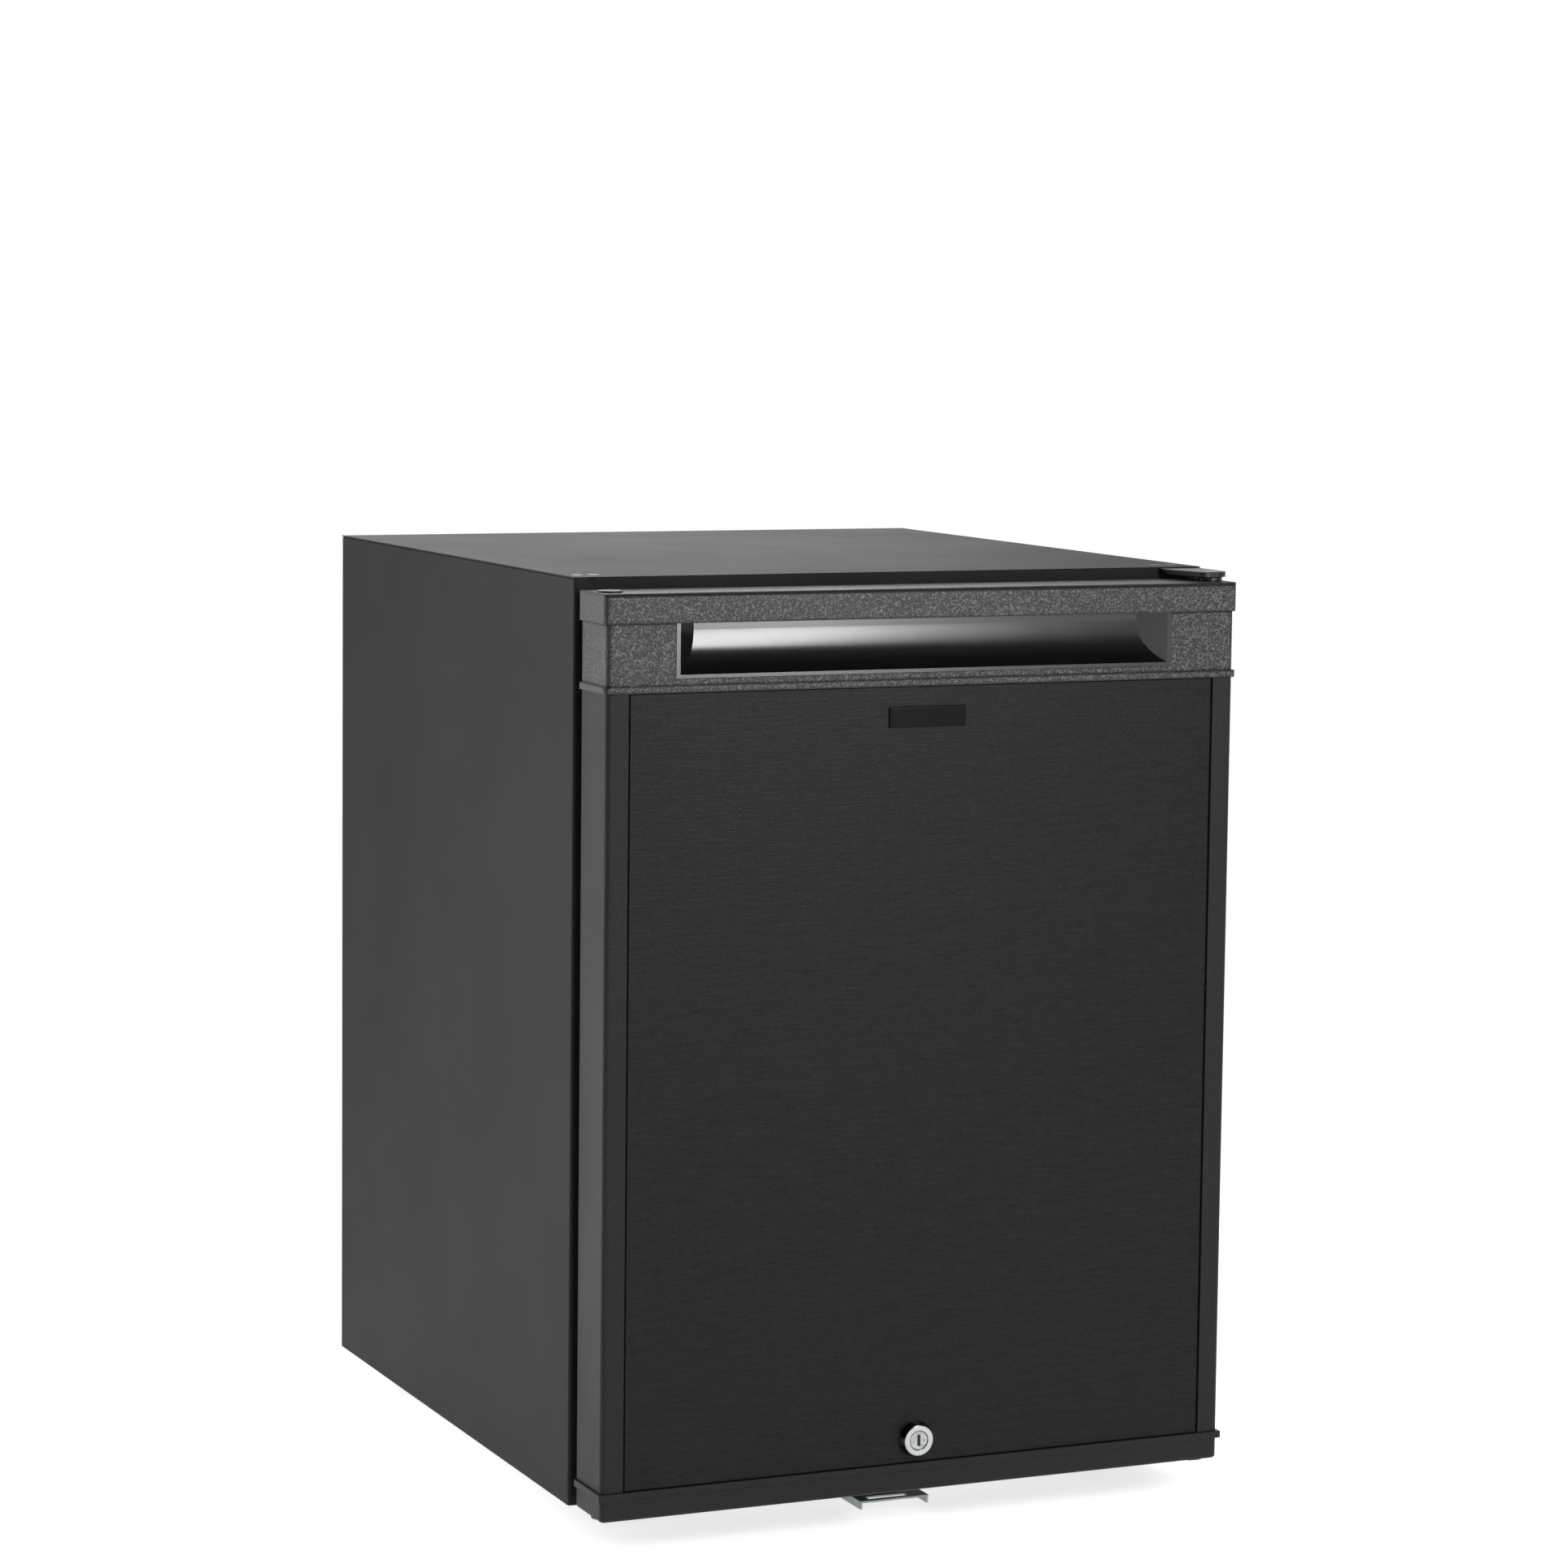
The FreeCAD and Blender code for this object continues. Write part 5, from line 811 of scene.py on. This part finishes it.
@dataclass
class Studio:
    """Pale floor, soft lamps and a white room.

    Attributes:
        floor_half: Half the side of the floor, in metres.
        floor_cells: Number of the floor's faces along a side.
        floor_colour: Colour of the floor.
        ambient: Strength of the room's light on matt surfaces.
        fade: Distances between which the floor turns to the room's white, in metres.
        lift: White added to the near floor where the camera, gloss and glass see it.
        bright_side: Direction of the lit end of the room.
        bright_range: Cosines of the angles from that direction between which the light grows.
        dark_level: What gloss sees of the unlit rest.
        lamps: Lamps round the fridge.
    """

    floor_half: float = 20.0
    floor_cells: int = 8
    floor_colour: str = "#f2f2f2"
    ambient: float = 0.34
    fade: tuple[float, float] = (0.6, 1.8)
    lift: float = 0.66
    bright_side: tuple[float, float, float] = (0.0, 1.0, 0.0)
    bright_range: tuple[float, float] = (0.5, 0.9)
    dark_level: float = 0.05
    lamps: tuple[Softbox, ...] = (
        Softbox("softbox_strip", (0.36, -1.34, 0.88), (-0.085, -0.225, 0.525), (0.24, 0.9), 10.5),
        Softbox("softbox_left", (-0.8, 0.25, 0.45), (-0.2, -0.2, 0.4), (0.4, 0.9), 3.4),
        Softbox("softbox_right", (2.2, 0.6, 1.5), (0.2, 0.0, 0.3), (1.6, 1.6), 14.0),
        Softbox("softbox_back", (0.5, 2.4, 1.2), (0.0, 0.2, 0.3), (1.6, 1.2), 11.0),
        Softbox("softbox_above", (-0.6, 0.6, 2.4), (0.0, 0.0, 0.0), (2.0, 2.0), 8.0),
    )

    def seen(self, tree: bpy.types.NodeTree) -> bpy.types.NodeSocket:
        """Tells rays of the camera, gloss and glass from the rest.

        Args:
            tree: Node tree that takes the nodes.

        Returns:
            Socket that is 1 for rays of the camera, gloss and glass.
        """
        path = add_node(tree, "ShaderNodeLightPath")
        first = add_node(tree, "ShaderNodeMath", {"operation": "MAXIMUM"},
                         {0: path.outputs["Is Camera Ray"], 1: path.outputs["Is Glossy Ray"]})
        return add_node(tree, "ShaderNodeMath", {"operation": "MAXIMUM"},
                        {0: first.outputs[0], 1: path.outputs["Is Transmission Ray"]}).outputs[0]

    def paper(self) -> bpy.types.Material:
        """Makes the floor's material.

        Returns:
            The material.
        """
        # Matt white paper: keeps the soft shadow near the fridge and turns to the room's white farther off
        made = bpy.data.materials.new("matt_paper_white")
        made.use_nodes = True
        tree = made.node_tree
        tree.nodes.clear()
        place = add_node(tree, "ShaderNodeTexCoord").outputs["Object"]
        away = add_node(tree, "ShaderNodeVectorMath", {"operation": "LENGTH"}, {0: place})
        far = add_node(tree, "ShaderNodeMapRange", {"interpolation_type": "SMOOTHSTEP"}, {
            "Value": away.outputs["Value"], "From Min": self.fade[0], "From Max": self.fade[1]})
        matt = add_node(tree, "ShaderNodeBsdfDiffuse", None, {"Color": linear(self.floor_colour)})
        raised = add_node(tree, "ShaderNodeEmission", None, {"Color": WHITE, "Strength": self.lift})
        near = add_node(tree, "ShaderNodeAddShader", None, {0: matt.outputs[0], 1: raised.outputs[0]})
        white = add_node(tree, "ShaderNodeEmission", None, {"Color": WHITE, "Strength": 1.0})
        shown = add_node(tree, "ShaderNodeMixShader", None,
                         {0: far.outputs["Result"], 1: near.outputs[0], 2: white.outputs[0]})
        both = add_node(tree, "ShaderNodeMixShader", None,
                        {0: self.seen(tree), 1: matt.outputs[0], 2: shown.outputs[0]})
        add_node(tree, "ShaderNodeOutputMaterial", None, {"Surface": both.outputs[0]})
        return made

    def build_floor(self) -> None:
        """Builds the floor under the fridge."""
        mesh = bmesh.new()
        bmesh.ops.create_grid(mesh, x_segments=self.floor_cells, y_segments=self.floor_cells,
                              size=self.floor_half)
        data = bpy.data.meshes.new("studio_floor")
        mesh.to_mesh(data)
        mesh.free()
        data.materials.append(self.paper())
        floor = bpy.data.objects.new("studio_floor", data)
        bpy.context.scene.collection.objects.link(floor)
        LOG.info("built studio_floor")

    def build_room(self) -> None:
        """Builds the white room; gloss sees only the end behind the fridge lit."""
        world = bpy.data.worlds.new("studio_room")
        bpy.context.scene.world = world
        world.use_nodes = True
        tree = world.node_tree
        tree.nodes.clear()
        path = add_node(tree, "ShaderNodeLightPath")
        way = add_node(tree, "ShaderNodeTexCoord").outputs["Generated"]
        toward = add_node(tree, "ShaderNodeVectorMath", {"operation": "DOT_PRODUCT"},
                          {0: way, 1: Vector(self.bright_side).normalized()})
        level = add_node(tree, "ShaderNodeMapRange", {"interpolation_type": "SMOOTHSTEP"}, {
            "Value": toward.outputs["Value"], "From Min": self.bright_range[0],
            "From Max": self.bright_range[1], "To Min": self.dark_level, "To Max": 1.0})
        strength = add_node(tree, "ShaderNodeMath", {"operation": "MAXIMUM"},
                            {0: level.outputs["Result"], 1: path.outputs["Is Camera Ray"]})
        shown = add_node(tree, "ShaderNodeBackground", None,
                         {"Color": WHITE, "Strength": strength.outputs[0]})
        soft = add_node(tree, "ShaderNodeBackground", None, {"Color": WHITE, "Strength": self.ambient})
        both = add_node(tree, "ShaderNodeMixShader", None,
                        {0: self.seen(tree), 1: soft.outputs[0], 2: shown.outputs[0]})
        add_node(tree, "ShaderNodeOutputWorld", None, {"Surface": both.outputs[0]})

    def build(self) -> None:
        """Builds the floor, the room and the lamps."""
        self.build_floor()
        self.build_room()
        for lamp in self.lamps:
            lamp.build()
            LOG.info("set %s", lamp.name)


@dataclass(frozen=True)
class PhotoCamera:
    """Camera at the photograph's view.

    Attributes:
        place: Its place in millimetres.
        yaw: Turn to the right of straight ahead, in degrees.
        pitch: Tilt down, in degrees.
        roll: Turn about its own axis, in degrees.
        focal: Focal length in pixels.
        image: Side of the image in pixels.
        centre: Row of the optical axis in pixels.
        sensor: Width of the sensor in millimetres.
        reach: Farthest distance that it shows, in metres.
    """

    place: tuple[float, float, float] = (-1113.6, -2555.2, 725.2)
    yaw: float = 23.746
    pitch: float = 5.732
    roll: float = 0.642
    focal: float = 5548.8
    image: float = 1932.0
    centre: float = 900.0
    sensor: float = 36.0
    reach: float = 100.0

    def build(self) -> None:
        """Sets up the camera and makes it the scene's own."""
        lens = bpy.data.cameras.new("photo_camera")
        lens.sensor_fit = "HORIZONTAL"
        lens.sensor_width = self.sensor
        lens.lens = self.sensor * self.focal / self.image
        lens.shift_y = (self.centre - self.image / 2) / self.image
        lens.clip_end = self.reach
        holder = bpy.data.objects.new("photo_camera", lens)
        turn = (Matrix.Rotation(math.radians(-self.yaw), 4, "Z")
                @ Matrix.Rotation(math.radians(90 - self.pitch), 4, "X")
                @ Matrix.Rotation(math.radians(self.roll), 4, "Z"))
        holder.matrix_world = Matrix.Translation(Vector(self.place) * MM) @ turn
        bpy.context.scene.collection.objects.link(holder)
        bpy.context.scene.camera = holder


def main() -> None:
    """Builds and dresses the fridge, and sets the studio, the camera and the view."""
    logging.basicConfig(level=logging.INFO, format="%(message)s")
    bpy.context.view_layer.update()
    assemblies: tuple[SubAssembly, ...] = (Cabinet(), Door(), Interior(), CoolingUnit())
    for assembly in assemblies:
        assembly.build()
        assembly.dress()
    Studio().build()
    PhotoCamera().build()
    bpy.context.scene.view_settings.view_transform = "Standard"


if __name__ == "__main__":
    main()
